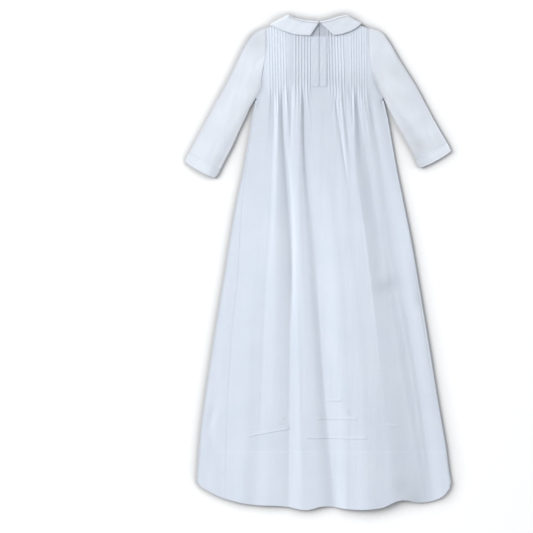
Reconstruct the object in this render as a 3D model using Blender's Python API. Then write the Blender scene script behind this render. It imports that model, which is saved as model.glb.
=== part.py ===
"""Baby's christening gown, laid flat with the neck opening upward.

Metres.  X runs across the gown, +Y towards the collar, +Z up from the surface it lies on.
Inside this script a place on the cloth is given the way a dressmaker gives it: `side`, how far
to the right of the centre line, and `down`, how far below the top of the collar.  Each piece
is a wall of cloth between an outer and an inner skin, built row by row down the garment.
"""
import math

import bmesh
import bpy
import numpy as np

MM = 0.001

# Driving sizes ---------------------------------------------------------------------------
GOWN_LENGTH = 850 * MM
CLOTH = 1.2 * MM              # thickness of a cloth wall
GAP = 0.3 * MM                # clearance between pieces that touch
SEAM_HALF_GAP = 0.2 * MM      # each side of a seam keeps this far from the seam line
COLLAR_LIFT = CLOTH + GAP     # what the collar's hidden half raises above the surface
FLAT_TOP = 2 * CLOTH + GAP + 0.2 * MM      # top of two layers that lie on each other

TUCK_RISE = 0.6 * MM          # height of a stitched pintuck
TUCK_CREST = 0.62             # where the crest lies across one tuck
TUCK_FADE = 16 * MM           # length in which a released tuck flattens
YOKE_MIDDLE = 80 * MM         # level at which the tuck groups are measured
SLIT_SIDE = 2.0 * MM          # the slit runs a little right of the centre line
SLIT_HALF = 0.4 * MM
HEM_LEVEL = 750 * MM          # top edge of the turned-up hem
HEM_RISE = 0.4 * MM           # the turned-up layer shows as a small step

# Collar
COLLAR_CLOTH = 1.2 * MM
COLLAR_STACK = 7.2 * MM       # outside height of the collar folded round the shoulder
NECK_ROLL = 3.0 * MM          # radius of the roll along the neck edge


def table(names, *rows):
    """Short table in millimetres: a row for each section, a named column for each word."""
    columns = zip(*rows)
    return {name: np.array(column, float) * MM for name, column in zip(names.split(), columns)}


# Side edges of the body and the width of front cloth that wraps over on to the upper side.
BODY = table("down left right wrap_left wrap_right",
             (142, -107.0, 111.8, 3.6, 3.6),
             (179, -113.6, 120.4, 3.6, 3.6),
             (220, -120.4, 127.6, 3.6, 3.6),
             (262, -127.6, 135.1, 4.2, 3.8),
             (317, -139.0, 146.3, 9.0, 3.8),
             (385, -151.0, 160.0, 17.0, 3.8),
             (454, -161.7, 172.0, 23.5, 3.8),
             (523, -173.4, 183.6, 27.5, 3.8),
             (592, -184.1, 195.0, 33.5, 3.8),
             (661, -194.4, 206.0, 39.5, 3.8),
             (730, -203.0, 218.0, 46.0, 3.8),
             (764, -205.6, 223.4, 49.0, 3.8),
             (800, -208.0, 229.0, 51.0, 3.8))

# Armhole seams, from the shoulder to the armpit.
ARMHOLE = table("down left right",
                (24, -89.4, 86.2),
                (40, -88.6, 86.8),
                (60, -88.8, 88.0),
                (81, -92.0, 90.4),
                (107, -96.2, 96.4),
                (119, -96.9, 101.0),
                (126, -98.2, 104.0),
                (134, -101.6, 107.8),
                (142, -107.0, 111.8))

# Upper edges of the two panels: shoulders, and a shallow or a deep neckline.
BACK_TOP = table("side down",
                 (-90, 24), (-80, 20), (-66, 12.5), (-53, 6), (-41, 10), (-27, 13.4),
                 (-12, 15.2), (2, 15.6), (14, 14.8), (27, 10.4), (41, 6.6), (51, 6), (62, 12),
                 (74, 18.5), (87, 24))
FRONT_TOP = table("side down",
                  (-90, 24), (-80, 20), (-66, 12.5), (-54, 6), (-49, 17), (-42, 27), (-31, 36),
                  (-16, 42.5), (0, 44.5), (16, 42.5), (31, 36), (42, 27), (47, 17), (51.5, 6.2),
                  (62, 12), (74, 18.5), (87, 24))

HEM = table("side down",
            (-208, 800), (-203, 807), (-189, 817), (-174, 825), (-148, 834), (-107, 841.5),
            (-70, 843), (-50, 845), (-31, 849), (-17, 850), (3, 844.5), (24, 844.5),
            (46, 848), (93, 848), (107, 846), (119, 842), (127, 838), (135, 834.5),
            (148, 833), (169, 837), (188, 836.5), (203, 832.5), (217, 824), (225, 814),
            (229, 800))

# Pintuck groups at the middle of the yoke: first and last valley, number of tucks, lean to
# the right for each unit of length, and the level at which their stitching ends.
TUCKS = (
    # first, last, count, lean, stitched_to
    (-86.6, -53.5, 7, 0.020, 134),
    (-42.0, -11.8, 6, 0.000, 123),
    (15.8, 46.0, 6, 0.030, 123),
    (54.0, 85.0, 7, 0.010, 134),
)

# Folds of the skirt.  Each line runs from the yoke to the hem.  The creases say how sharply
# the cloth turns before the line (on its left) and after it: 0 is soft, 1 or more is sharp.
FOLD_LEVELS = np.array((150, 250, 400, 560, 840)) * MM
FOLDS = (
    # name, crease before and after, side at each level, rise at each level
    ("left_hollow", 0, 0, (-98, -103, -116, -136, -152), (3.4, 3.9, 4.4, 4.5, 4.3)),
    ("left_swell", 0, 0, (-88, -90, -101, -117, -132), (3.9, 4.3, 4.8, 4.9, 4.9)),
    ("left_dip", 0, 0, (-78, -80, -87, -94, -110), (3.6, 4.4, 5.2, 5.0, 4.2)),
    ("first_ridge", 0, 0, (-68, -70, -72, -70.5, -82), (4.7, 5.6, 6.2, 5.7, 5.0)),
    ("first_valley", 1.2, 0.6, (-62, -56.5, -46.5, -48.5, -50.5), (3.3, 2.9, 3.0, 3.9, 3.6)),
    ("centre_ridge", 0, 0, (-29.6, -31.5, -29, -21, -28), (5.2, 5.0, 5.1, 5.9, 5.5)),
    ("centre_shelf", 0, 0, (-28, -29, -24, -13, 0), (4.7, 4.7, 4.8, 5.8, 5.2)),
    ("centre_valley", 1.2, 0.2, (-25.8, -22.5, -6, 4, 26.5), (2.9, 2.9, 2.9, 3.0, 2.9)),
    ("broad_panel", 0, 0, (5, 15.5, 34, 48, 52), (3.5, 3.8, 5.2, 6.7, 5.8)),
    ("broad_step", 0, 0, (44, 51, 58, 75, 89), (3.6, 5.1, 5.8, 7.6, 8.6)),
    ("right_ridge", 0.4, 0.5, (62.5, 63.7, 84, 101.5, 130), (5.0, 6.0, 6.7, 8.1, 8.0)),
    ("right_step", 0.3, 0, (67, 84, 109, 132, 182), (3.2, 3.0, 3.6, 6.4, 3.2)),
    ("right_swell", 0, 0, (81, 97, 119, 150, 191), (4.2, 3.6, 3.3, 5.0, 3.0)),
    ("right_hollow", 0, 0, (90, 107, 131, 161, 199), (3.6, 3.2, 3.0, 4.3, 3.0)),
    ("edge_swell", 0, 0, (99, 118, 160, 182, 213), (3.8, 3.9, 4.2, 5.0, 4.4)),
)

# Short folds that spring from the released tucks: crest from start to end, height, and the
# reach of the slope on its left and right.
SHORT_FOLDS = (
    # side, down, end_side, end_down, rise, left_reach, right_reach
    (-92, 136, -98, 214, 0.4, 6, 6),
    (-84, 134, -87, 222, 0.4, 5, 4),
    (-54, 124, -53.5, 212, 0.9, 4, 4),
    (-41, 122, -40, 190, 0.5, 4, 4),
    (-17, 122, -19, 168, 0.4, 6, 5),
    (36.5, 122, 50, 262, 1.2, 3.5, 7),
    (49, 124, 55, 190, 0.5, 5, 4),
    (60, 126, 62, 200, 0.3, 6, 3.5),
    (71.5, 130, 80, 200, 0.6, 5, 5),
    (83, 132, 91, 204, 0.6, 5, 5),
    (95, 140, 116, 250, 0.5, 6, 6),
)

# Sleeve sections from the armhole to the cuff seam: the outer edge, the underarm edge, the
# height of the edge roll and how far the upper layer swells above it.
SLEEVE_LEFT = table("outer_side outer_down under_side under_down edge swell",
                    (-91.2, 21.5, -107.0, 142.0, 3.1, 0.0),
                    (-111.8, 32.7, -111.8, 150.0, 3.2, 0.6),
                    (-125.6, 51.6, -117.0, 158.5, 3.4, 0.9),
                    (-139.4, 79.1, -122.2, 170.3, 3.6, 1.2),
                    (-153.1, 108.4, -129.0, 185.0, 3.8, 1.4),
                    (-168.6, 137.6, -137.6, 203.0, 3.8, 1.4),
                    (-184.1, 166.9, -146.2, 223.7, 3.8, 1.4),
                    (-199.6, 196.1, -156.6, 244.3, 3.8, 1.3),
                    (-222.0, 237.8, -168.3, 267.0, 3.8, 1.2))
SLEEVE_RIGHT = table("outer_side outer_down under_side under_down edge swell",
                     (87.6, 21.0, 111.8, 142.0, 3.1, 0.0),
                     (108.4, 29.6, 116.1, 151.0, 3.2, 0.6),
                     (123.9, 49.0, 121.3, 161.7, 3.4, 0.9),
                     (137.6, 72.3, 129.0, 176.4, 3.6, 1.2),
                     (153.1, 97.2, 137.6, 192.7, 3.8, 1.1),
                     (168.6, 122.2, 147.1, 209.0, 3.8, 0.8),
                     (184.1, 151.4, 156.6, 225.4, 3.8, 0.5),
                     (201.3, 183.2, 165.0, 240.0, 3.8, 0.3),
                     (222.8, 220.2, 168.8, 250.3, 3.8, 0.2))
CUFF_LEFT = table("outer_side outer_down under_side under_down edge swell",
                  (-222.3, 238.5, -168.6, 267.7, 4.0, 1.3),
                  (-225.4, 244.7, -171.9, 273.8, 4.1, 1.3),
                  (-228.9, 251.8, -177.6, 280.4, 4.0, 1.2))
CUFF_RIGHT = table("outer_side outer_down under_side under_down edge swell",
                   (223.2, 220.9, 169.2, 251.0, 4.0, 0.2),
                   (226.0, 226.6, 171.8, 256.8, 4.1, 0.2),
                   (229.3, 233.6, 177.0, 262.6, 4.0, 0.1))

# Collar halves: outer and neck edge of the visible leaf, from the opening to the shoulder,
# then of the hidden leaf, from the shoulder to the other end.
COLLAR_LEFT = table("outer_side outer_down neck_side neck_down",
                    (-13.1, 35.6, 0.9, 13.8),
                    (-27.0, 35.2, -12.0, 13.2),
                    (-42.0, 33.2, -25.0, 11.6),
                    (-58.5, 28.2, -38.0, 8.6),
                    (-70.0, 23.6, -44.0, 6.2),
                    (-79.9, 19.0, -49.8, 3.8))
COLLAR_LEFT_HIDDEN = table("outer_side outer_down neck_side neck_down",
                           (-80.0, 36.0, -49.0, 15.0),
                           (-70.0, 56.0, -42.5, 27.0),
                           (-54.0, 71.0, -31.0, 36.0),
                           (-33.0, 79.0, -16.0, 42.5),
                           (-10.0, 76.0, -1.0, 44.5))
COLLAR_RIGHT = table("outer_side outer_down neck_side neck_down",
                     (28.0, 35.2, 3.8, 13.8),
                     (39.0, 33.6, 14.0, 12.4),
                     (50.0, 30.2, 24.0, 9.8),
                     (60.0, 26.0, 35.0, 5.6),
                     (67.0, 21.8, 42.0, 4.2),
                     (72.6, 17.2, 47.6, 3.6))
COLLAR_RIGHT_HIDDEN = table("outer_side outer_down neck_side neck_down",
                            (76.0, 36.0, 47.0, 15.0),
                            (68.0, 56.0, 41.5, 27.0),
                            (53.0, 71.0, 31.0, 36.0),
                            (33.0, 79.0, 16.0, 42.5),
                            (10.0, 76.0, 1.0, 44.5))

# Placket strips beside the slit, and the stitched tucks above the hem.
PLACKET_TOP = 38 * MM
PLACKET_END = 123 * MM
PLACKET_LEFT = (-11.2 * MM, 1.3 * MM)
PLACKET_RIGHT = (2.7 * MM, 15.2 * MM)
PLACKET_CLOTH = 1.0 * MM
HEM_TUCK_WIDTH = 2.4 * MM
HEM_TUCK_RISE = 1.0 * MM
HEM_TUCKS = (
    # name, start side, start down, end side, end down
    ("hem_tuck_top", 13, 662, 40, 662),
    ("hem_tuck_middle", -2, 693, 67, 694),
    ("hem_tuck_low", -22, 726, 83, 727),
    ("hem_tuck_left", -120, 723, -49, 710),
    ("hem_tuck_right", 117, 703, 138, 707),
)

# Levels of the rows: through the yoke, then down the skirt.
YOKE_BLEND = 60 * MM          # above this level the rows bend to the panel's top edge
TOP_SHARES = (0, 1 / 3, 2 / 3)                     # from the top edge to the first yoke level
YOKE_LEVELS = np.array((60, 81, 107, 119)) * MM
RELEASE_LEVELS = np.array((123, 126, 130, 134, 138, 142, 148)) * MM
SKIRT_LEVELS = np.array((158, 168, 180, 195, 215, 240, 270, 305, 345, 385, 430, 480, 530,
                         585, 640, 695, 749)) * MM
ARMPIT_LEVELS = np.array((126, 134, 142)) * MM     # last flat rows of the lower panel
HEM_ROWS = (0.0, 0.02, 0.35, 0.7, 0.88, 1.0)       # from the hem's top edge to its bottom
FRONT_SHARES = (0, 0.015, 0.04, 0.08, 0.14, 0.23, 0.32, 0.41, 0.5, 0.59, 0.68, 0.76, 0.81,
                0.86, 0.91, 0.945, 0.975, 0.99, 1)  # columns across the lower panel
PLAIN_COLUMNS = 8             # columns of an inner skin on each side of the slit

MATERIALS = {
    # name: colour, roughness
    "white_lawn": ((0.80, 0.84, 0.90), 0.85),
    "white_lawn_double": ((0.83, 0.87, 0.92), 0.80),
    "white_thread": ((0.86, 0.89, 0.93), 0.60),
}


# Curves ----------------------------------------------------------------------------------
def smooth(value, levels, values):
    """Smooth curve through a table's rows: cubic pieces with centred slopes."""
    value = np.clip(value, levels[0], levels[-1])
    slopes = np.gradient(values, levels)
    i = np.clip(np.searchsorted(levels, value, side="right") - 1, 0, len(levels) - 2)
    span = levels[i + 1] - levels[i]
    t = (value - levels[i]) / span
    rest = 1 - t
    return (values[i] * rest * rest * (1 + 2 * t) + values[i + 1] * t * t * (3 - 2 * t)
            + slopes[i] * span * t * rest * rest - slopes[i + 1] * span * t * t * rest)


def ease(value, start, end):
    """0 before start, 1 after end, with a soft turn at both."""
    t = np.clip((value - start) / (end - start), 0, 1)
    return t * t * (3 - 2 * t)


def body_edge(column, down):
    return smooth(down, BODY["down"], BODY[column])


def armhole_edge(column, down):
    return np.interp(down, ARMHOLE["down"], ARMHOLE[column])


def edge_height(down):
    """Height of the rounded fold along the body's side edges."""
    return (3.3 + 0.9 * ease(down, 150 * MM, 420 * MM)) * MM


def collar_lift(side, down):
    """How far the layers rise over the collar's hidden half."""
    reach = ((side / (88 * MM)) ** 4 + ((down - 36 * MM) / (50 * MM)) ** 4) ** 0.25
    return COLLAR_LIFT * (1 - ease(reach, 1.0, 1.75))


# Height of the upper side ----------------------------------------------------------------
def panel_sides(down):
    """Left and right edge of the upper panel at a level."""
    left = body_edge("left", down) + body_edge("wrap_left", down) + SEAM_HALF_GAP
    right = body_edge("right", down) - body_edge("wrap_right", down) - SEAM_HALF_GAP
    turn = ease(down, ARMHOLE["down"][-1], ARMHOLE["down"][-1] + 6 * MM)
    arm_left = armhole_edge("left", down) + SEAM_HALF_GAP
    arm_right = armhole_edge("right", down) - SEAM_HALF_GAP
    return arm_left + (left - arm_left) * turn, arm_right + (right - arm_right) * turn


def fold_lines(down):
    """Side, height and creases of every fold line at a level, edges included."""
    left, right = panel_sides(down)
    sides = [left]
    rises = [edge_height(down)]
    creases = [(1.0, 1.0)]
    for _, before, after, line_sides, line_rises in FOLDS:
        sides.append(smooth(down, FOLD_LEVELS, np.array(line_sides) * MM))
        rises.append(smooth(down, FOLD_LEVELS, np.array(line_rises) * MM))
        creases.append((before, after))
    sides.append(right)
    rises.append(edge_height(down))
    creases.append((1.0, 1.0))
    order = np.arange(len(sides)) * 0.5 * MM
    sides = np.clip(np.array(sides), left + order, right - order[::-1])
    return sides, np.array(rises), np.array(creases)


def fold_height(side, down):
    """Height of the skirt's folds at one place."""
    sides, rises, creases = fold_lines(down)
    i = int(np.clip(np.searchsorted(sides, side, side="right") - 1, 0, len(sides) - 2))
    t = np.clip((side - sides[i]) / (sides[i + 1] - sides[i]), 0, 1)
    start_slope = 1.4 * creases[i, 1]
    end_slope = 1.4 * creases[i + 1, 0]
    rest = 1 - t
    share = t * t * (3 - 2 * t) + start_slope * t * rest * rest - end_slope * t * t * rest
    return rises[i] + (rises[i + 1] - rises[i]) * share


def short_fold_height(side, down):
    """Extra height from the folds that spring from the released tucks."""
    total = 0.0
    for start, top, end, bottom, rise, left_reach, right_reach in SHORT_FOLDS:
        along = (down / MM - top + 12) / (bottom - top + 12)
        if 0 < along < 1:
            crest = start + (end - start) * along
            off = side / MM - crest
            reach = left_reach if off < 0 else right_reach
            swell = min(along * 5, 1) * (1 - along) ** 0.7
            total += rise * MM * swell * math.exp(-(off / reach) ** 2 * 2.2)
    return total


def tuck_height(side, down):
    """Height of the stitched pintucks at one place."""
    for first, last, count, lean, stitched_to in TUCKS:
        shift = lean * (down - YOKE_MIDDLE)
        across = (side - shift) / MM - first
        if 0 < across < last - first:
            t = (across * count / (last - first)) % 1.0
            shape = t / TUCK_CREST if t < TUCK_CREST else (1 - t) / (1 - TUCK_CREST)
            held = 1 - ease(down, stitched_to * MM, stitched_to * MM + TUCK_FADE)
            return TUCK_RISE * shape * held
    return 0.0


def base_height(side, down):
    """Height of the upper side without its pintucks and hem step."""
    released = ease(down, 116 * MM, 160 * MM)
    flat = FLAT_TOP
    if released > 0:
        flat += (fold_height(side, down) - FLAT_TOP) * released
        flat += short_fold_height(side, down)
    return flat + collar_lift(side, down)


def upper_height(side, down):
    """Height of the outer face of the upper panel."""
    height = base_height(side, down) + tuck_height(side, down)
    return height + HEM_RISE * ease(down, HEM_LEVEL - 1 * MM, HEM_LEVEL + 1 * MM)


def under_height(side, down):
    """Height of the inner face of the upper panel: one wall below the outer face."""
    step = 1 * MM
    slope = (base_height(side + step, down) - base_height(side - step, down)) / (2 * step)
    wall = CLOTH * math.sqrt(1 + slope * slope)
    lowest = CLOTH + GAP + collar_lift(side, down)
    return max(base_height(side, down) - wall, lowest)


# Cloth walls -----------------------------------------------------------------------------
def place(side, down, rise):
    return (side, GOWN_LENGTH / 2 - down, rise)


class Wall:
    """A cloth wall made of rows of points on two skins, closed along its edges."""

    def __init__(self):
        self.points = []
        self.skins = ([], [])
        self.twin = {}

    def row(self, outer, inner):
        """Adds a row to both skins.  Rows of equal length are joined all along an edge,
        others at their two ends."""
        ids = []
        for skin in (outer, inner):
            ids.append(list(range(len(self.points), len(self.points) + len(skin))))
            self.points.extend(skin)
        if len(outer) == len(inner):
            self.twin.update(zip(ids[0], ids[1]))
        else:
            self.twin[ids[0][0]] = ids[1][0]
            self.twin[ids[0][-1]] = ids[1][-1]
        return ids

    def sew(self, row, next_row):
        """Fills the strip between two rows on both skins."""
        for skin in (0, 1):
            self.skins[skin].extend(strip(row[skin], next_row[skin], self.points))

    def close(self):
        """The faces of both skins and of the edge between them."""
        edges = {}
        for face in self.skins[0]:
            for a, b in zip(face, face[1:] + face[:1]):
                edges[(min(a, b), max(a, b))] = edges.get((min(a, b), max(a, b)), 0) + 1
        rim = [(a, b, self.twin[b], self.twin[a]) for (a, b), uses in edges.items() if uses == 1]
        return self.skins[0] + self.skins[1] + rim


def strip(row, other, points):
    """Triangles between two rows of point numbers, matched by how far along they lie."""
    def shares(ids):
        line = np.array([points[i] for i in ids])
        lengths = np.concatenate(([0], np.cumsum(np.linalg.norm(np.diff(line, axis=0), axis=1))))
        return lengths / lengths[-1]

    faces = []
    i = j = 0
    even = len(row) == len(other)
    along, across = shares(row), shares(other)
    while i < len(row) - 1 or j < len(other) - 1:
        if even:
            first = i == j
        elif i == len(row) - 1:
            first = False
        elif j == len(other) - 1:
            first = True
        else:
            first = along[i + 1] <= across[j + 1]
        if first:
            faces.append((row[i], row[i + 1], other[j]))
            i += 1
        else:
            faces.append((row[i], other[j + 1], other[j]))
            j += 1
    return faces


def make_object(name, points, faces, material):
    """One closed solid with its faces pointing out."""
    mesh = bpy.data.meshes.new(name)
    shell = bmesh.new()
    verts = [shell.verts.new(point) for point in points]
    for face in faces:
        shell.faces.new([verts[i] for i in face])
    bmesh.ops.triangulate(shell, faces=shell.faces[:])
    bmesh.ops.recalc_face_normals(shell, faces=shell.faces[:])
    shell.to_mesh(mesh)
    shell.free()
    mesh.shade_smooth()
    mesh.set_sharp_from_angle(angle=math.radians(40))
    mesh.materials.append(MATERIAL_OBJECTS[material])
    piece = bpy.data.objects.new(name, mesh)
    bpy.context.collection.objects.link(piece)
    return piece


def make_materials():
    made = {}
    for name, (colour, roughness) in MATERIALS.items():
        material = bpy.data.materials.new(name)
        material.use_nodes = True
        shader = material.node_tree.nodes["Principled BSDF"]
        shader.inputs["Base Color"].default_value = (*colour, 1)
        shader.inputs["Roughness"].default_value = roughness
        shader.inputs["Metallic"].default_value = 0
        material.diffuse_color = (*colour, 1)
        made[name] = material
    return made


# Levels that bend to the hem -------------------------------------------------------------
def hem_level(side, share):
    """Level of a row in the skirt's last part: share 0 is straight, 1 is the hem itself."""
    hem = smooth(side, HEM["side"], HEM["down"])
    return HEM_LEVEL + (hem - HEM_LEVEL) * share


def row_level(side, level, share):
    """Level of a skirt row at a side; a row with a share bends towards the hem."""
    return level if share is None else hem_level(side, share)


def skirt_rows():
    """Nominal level and hem share of each row down the skirt."""
    rows = [(level, None) for level in SKIRT_LEVELS]
    corner = HEM["down"][0]
    for share in HEM_ROWS:
        rows.append((HEM_LEVEL + (corner - HEM_LEVEL) * share, share))
    return rows


# Upper panel -----------------------------------------------------------------------------
def tuck_columns(level, groups):
    """Valleys and crests of some pintuck groups at a level."""
    columns = []
    for first, last, count, lean, _ in groups:
        spacing = (last - first) / count
        marks = [first]
        for k in range(count):
            marks += [first + (k + TUCK_CREST) * spacing, first + (k + 1) * spacing]
        columns += [mark * MM + lean * (level - YOKE_MIDDLE) for mark in marks]
    return columns


def yoke_columns(level):
    """Columns of a yoke row: the left part up to the slit, and the right part from it."""
    left_edge, right_edge = panel_sides(level)
    left_tucks = tuck_columns(level, TUCKS[:2])
    right_tucks = tuck_columns(level, TUCKS[2:])
    slit_left, slit_right = SLIT_SIDE - SLIT_HALF, SLIT_SIDE + SLIT_HALF
    left = [left_edge] + left_tucks + [(left_tucks[-1] + slit_left) / 2, slit_left]
    right = [slit_right, (right_tucks[0] + slit_right) / 2] + right_tucks + [right_edge]
    return left, right


def plain_columns(start, end, count):
    return list(np.linspace(start, end, count))


def skirt_columns(level, share):
    """Columns of a skirt row: each fold line and three places between it and the next."""
    sides = fold_lines(level)[0]
    for _ in range(2):
        for i in range(1, len(sides) - 1):
            sides[i] = fold_lines(row_level(sides[i], level, share))[0][i]
    columns = []
    for a, b in zip(sides[:-1], sides[1:]):
        columns.extend(a + (b - a) * part for part in (0, 0.25, 0.5, 0.75))
    columns.append(sides[-1])
    return columns


def panel_row(wall, columns, plain, level_at):
    """Adds a row of the upper panel: outer points on the columns, inner on the plain ones."""
    outer = [place(x, level_at(x), upper_height(x, level_at(x))) for x in columns]
    inner = [place(x, level_at(x), under_height(x, level_at(x))) for x in plain]
    return wall.row(outer, inner)


def back_panel():
    """Panel with the neck opening: tucked yoke above, free folds below."""
    wall = Wall()
    edge = ARMHOLE["down"][0]

    def top_level(share):
        def level_at(x):
            top = smooth(x, BACK_TOP["side"], BACK_TOP["down"])
            return top + (YOKE_BLEND - top) * share
        return level_at

    def yoke_rows(part):
        levels = [(edge + (YOKE_BLEND - edge) * share, top_level(share)) for share in TOP_SHARES]
        levels += [(level, lambda x, level=level: level) for level in YOKE_LEVELS]
        row = None
        for nominal, level_at in levels:
            columns = yoke_columns(nominal)[part]
            plain = plain_columns(columns[0], columns[-1], PLAIN_COLUMNS) if row else columns
            next_row = panel_row(wall, columns, plain, level_at)
            if row:
                wall.sew(row, next_row)
            row = next_row
        return row

    left, right = yoke_rows(0), yoke_rows(1)
    row = [left[skin] + right[skin] for skin in (0, 1)]
    for level in RELEASE_LEVELS:
        left_columns, right_columns = yoke_columns(level)
        plain = plain_columns(left_columns[0], right_columns[-1], 2 * PLAIN_COLUMNS)
        next_row = panel_row(wall, left_columns + right_columns, plain,
                             lambda x, level=level: level)
        wall.sew(row, next_row)
        row = next_row
    for level, share in skirt_rows():
        columns = skirt_columns(level, share)
        next_row = panel_row(wall, columns, columns,
                             lambda x, level=level, share=share: row_level(x, level, share))
        wall.sew(row, next_row)
        row = next_row
    return make_object("back_panel", wall.points, wall.close(), "white_lawn")


# Lower panel -----------------------------------------------------------------------------
def front_row(wall, level, share):
    """Row of the lower panel: over the left edge, along the surface, over the right edge."""
    radius = edge_height(level) / 2
    left, right = body_edge("left", level), body_edge("right", level)
    wrap_left = body_edge("wrap_left", level) - SEAM_HALF_GAP
    wrap_right = body_edge("wrap_right", level) - SEAM_HALF_GAP
    turns = (60, 20, -20, -60)
    path = [(left + wrap_left - (wrap_left - radius) * t, 90, 0) for t in (0, 0.33, 0.67, 1)]
    path += [(left + radius, turn, -1) for turn in turns]
    width = right - left - 2 * radius
    path += [(left + radius + width * share, -90, 0) for share in FRONT_SHARES]
    path += [(right - radius, -turn, 1) for turn in turns]
    path += [(right - wrap_right + (wrap_right - radius) * t, 90, 0) for t in (1, 0)]
    skins = []
    for reach in (radius, radius - CLOTH):
        points = []
        for x, turn, sign in path:
            angle = math.radians(turn)
            side = x + sign * reach * math.cos(angle)
            down = row_level(side, level, share)
            points.append(place(side, down, radius + reach * math.sin(angle)))
        skins.append(points)
    return wall.row(*skins)


def front_panel():
    """Panel that the gown lies on, its neckline deep, its side edges rolled over."""
    wall = Wall()
    row = None
    for share in TOP_SHARES:
        edge = ARMHOLE["down"][0] + (YOKE_BLEND - ARMHOLE["down"][0]) * share
        columns = [armhole_edge("left", edge) + SEAM_HALF_GAP]
        columns += list(FRONT_TOP["side"][1:-1])
        columns += [armhole_edge("right", edge) - SEAM_HALF_GAP]
        points = []
        for x in columns:
            top = smooth(x, FRONT_TOP["side"], FRONT_TOP["down"])
            points.append((x, top + (YOKE_BLEND - top) * share))
        row = flat_row(wall, points, row)
    for level in np.concatenate((YOKE_LEVELS, ARMPIT_LEVELS)):
        columns = plain_columns(armhole_edge("left", level) + SEAM_HALF_GAP,
                                armhole_edge("right", level) - SEAM_HALF_GAP,
                                2 * PLAIN_COLUMNS)
        row = flat_row(wall, [(x, level) for x in columns], row)
    for level, share in [(RELEASE_LEVELS[-1], None)] + skirt_rows():
        next_row = front_row(wall, level, share)
        wall.sew(row, next_row)
        row = next_row
    return make_object("front_panel", wall.points, wall.close(), "white_lawn")


def flat_row(wall, places, row):
    """Adds and joins a row that lies flat on the surface or on the collar's hidden half."""
    outer = [place(x, down, collar_lift(x, down)) for x, down in places]
    inner = [place(x, down, collar_lift(x, down) + CLOTH) for x, down in places]
    next_row = wall.row(outer, inner)
    if row:
        wall.sew(row, next_row)
    return next_row


# Sleeves and cuffs -----------------------------------------------------------------------
def tube(name, sections, bend, material):
    """Flattened tube through its sections; `bend` is the shape of its first open edge."""
    count = len(sections["edge"])
    shares = (ARMHOLE["down"] - ARMHOLE["down"][0]) / np.ptp(ARMHOLE["down"])
    rings = ([], [])
    for i in range(count):
        start = np.array((sections["outer_side"][i], sections["outer_down"][i]))
        end = np.array((sections["under_side"][i], sections["under_down"][i]))
        across = (end - start) / np.linalg.norm(end - start)
        radius = sections["edge"][i] / 2
        if bend is None or i:
            start, end = start + across * radius, end - across * radius
        straight = (1 - i / (count - 1)) ** 2
        for skin, reach in enumerate((radius, radius - CLOTH)):
            ring = []
            flats = [start + (end - start) * share for share in shares]
            if bend is not None:
                chord = [bend[0] + (bend[-1] - bend[0]) * share for share in shares]
                flats = [flat + (spot - line) * straight
                         for flat, spot, line in zip(flats, bend, chord)]
            top = []
            for flat, share in zip(flats, shares):
                swell = sections["swell"][i] * math.sin(math.pi * share)
                top.append((flat, radius + reach + swell))
            turns = [math.radians(angle) for angle in (45, 0, -45)]
            ring += top
            ring += [(flats[-1] + across * reach * math.cos(turn), radius + reach * math.sin(turn))
                     for turn in turns]
            ring += [(flat, radius - reach) for flat in reversed(flats)]
            ring += [(flats[0] - across * reach * math.cos(turn), radius - reach * math.sin(turn))
                     for turn in turns]
            rings[skin].append([place(x, down, height + collar_lift(x, down))
                                for (x, down), height in ring])
    return make_tube(name, rings, material)


def make_tube(name, rings, material):
    """Solid between an outer and an inner tube of rings, closed at both ends."""
    size = len(rings[0][0])
    points = [point for skin in rings for ring in skin for point in ring]
    count = len(rings[0])

    def number(skin, ring, k):
        return (skin * count + ring) * size + k % size

    faces = []
    for k in range(size):
        for skin in (0, 1):
            for ring in range(count - 1):
                faces.append((number(skin, ring, k), number(skin, ring, k + 1),
                              number(skin, ring + 1, k + 1), number(skin, ring + 1, k)))
        for ring in (0, count - 1):
            faces.append((number(0, ring, k), number(0, ring, k + 1),
                          number(1, ring, k + 1), number(1, ring, k)))
    return make_object(name, points, faces, material)


def sleeve(name, sections, column):
    """Set-in sleeve: its open top edge follows the armhole."""
    away = -SEAM_HALF_GAP if column == "left" else SEAM_HALF_GAP
    bend = [np.array((side + away, down))
            for side, down in zip(ARMHOLE[column], ARMHOLE["down"])]
    shaped = {key: values.copy() for key, values in sections.items()}
    shaped["outer_side"][0], shaped["outer_down"][0] = bend[0]
    shaped["under_side"][0], shaped["under_down"][0] = bend[-1]
    return tube(name, shaped, bend, "white_lawn")


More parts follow.
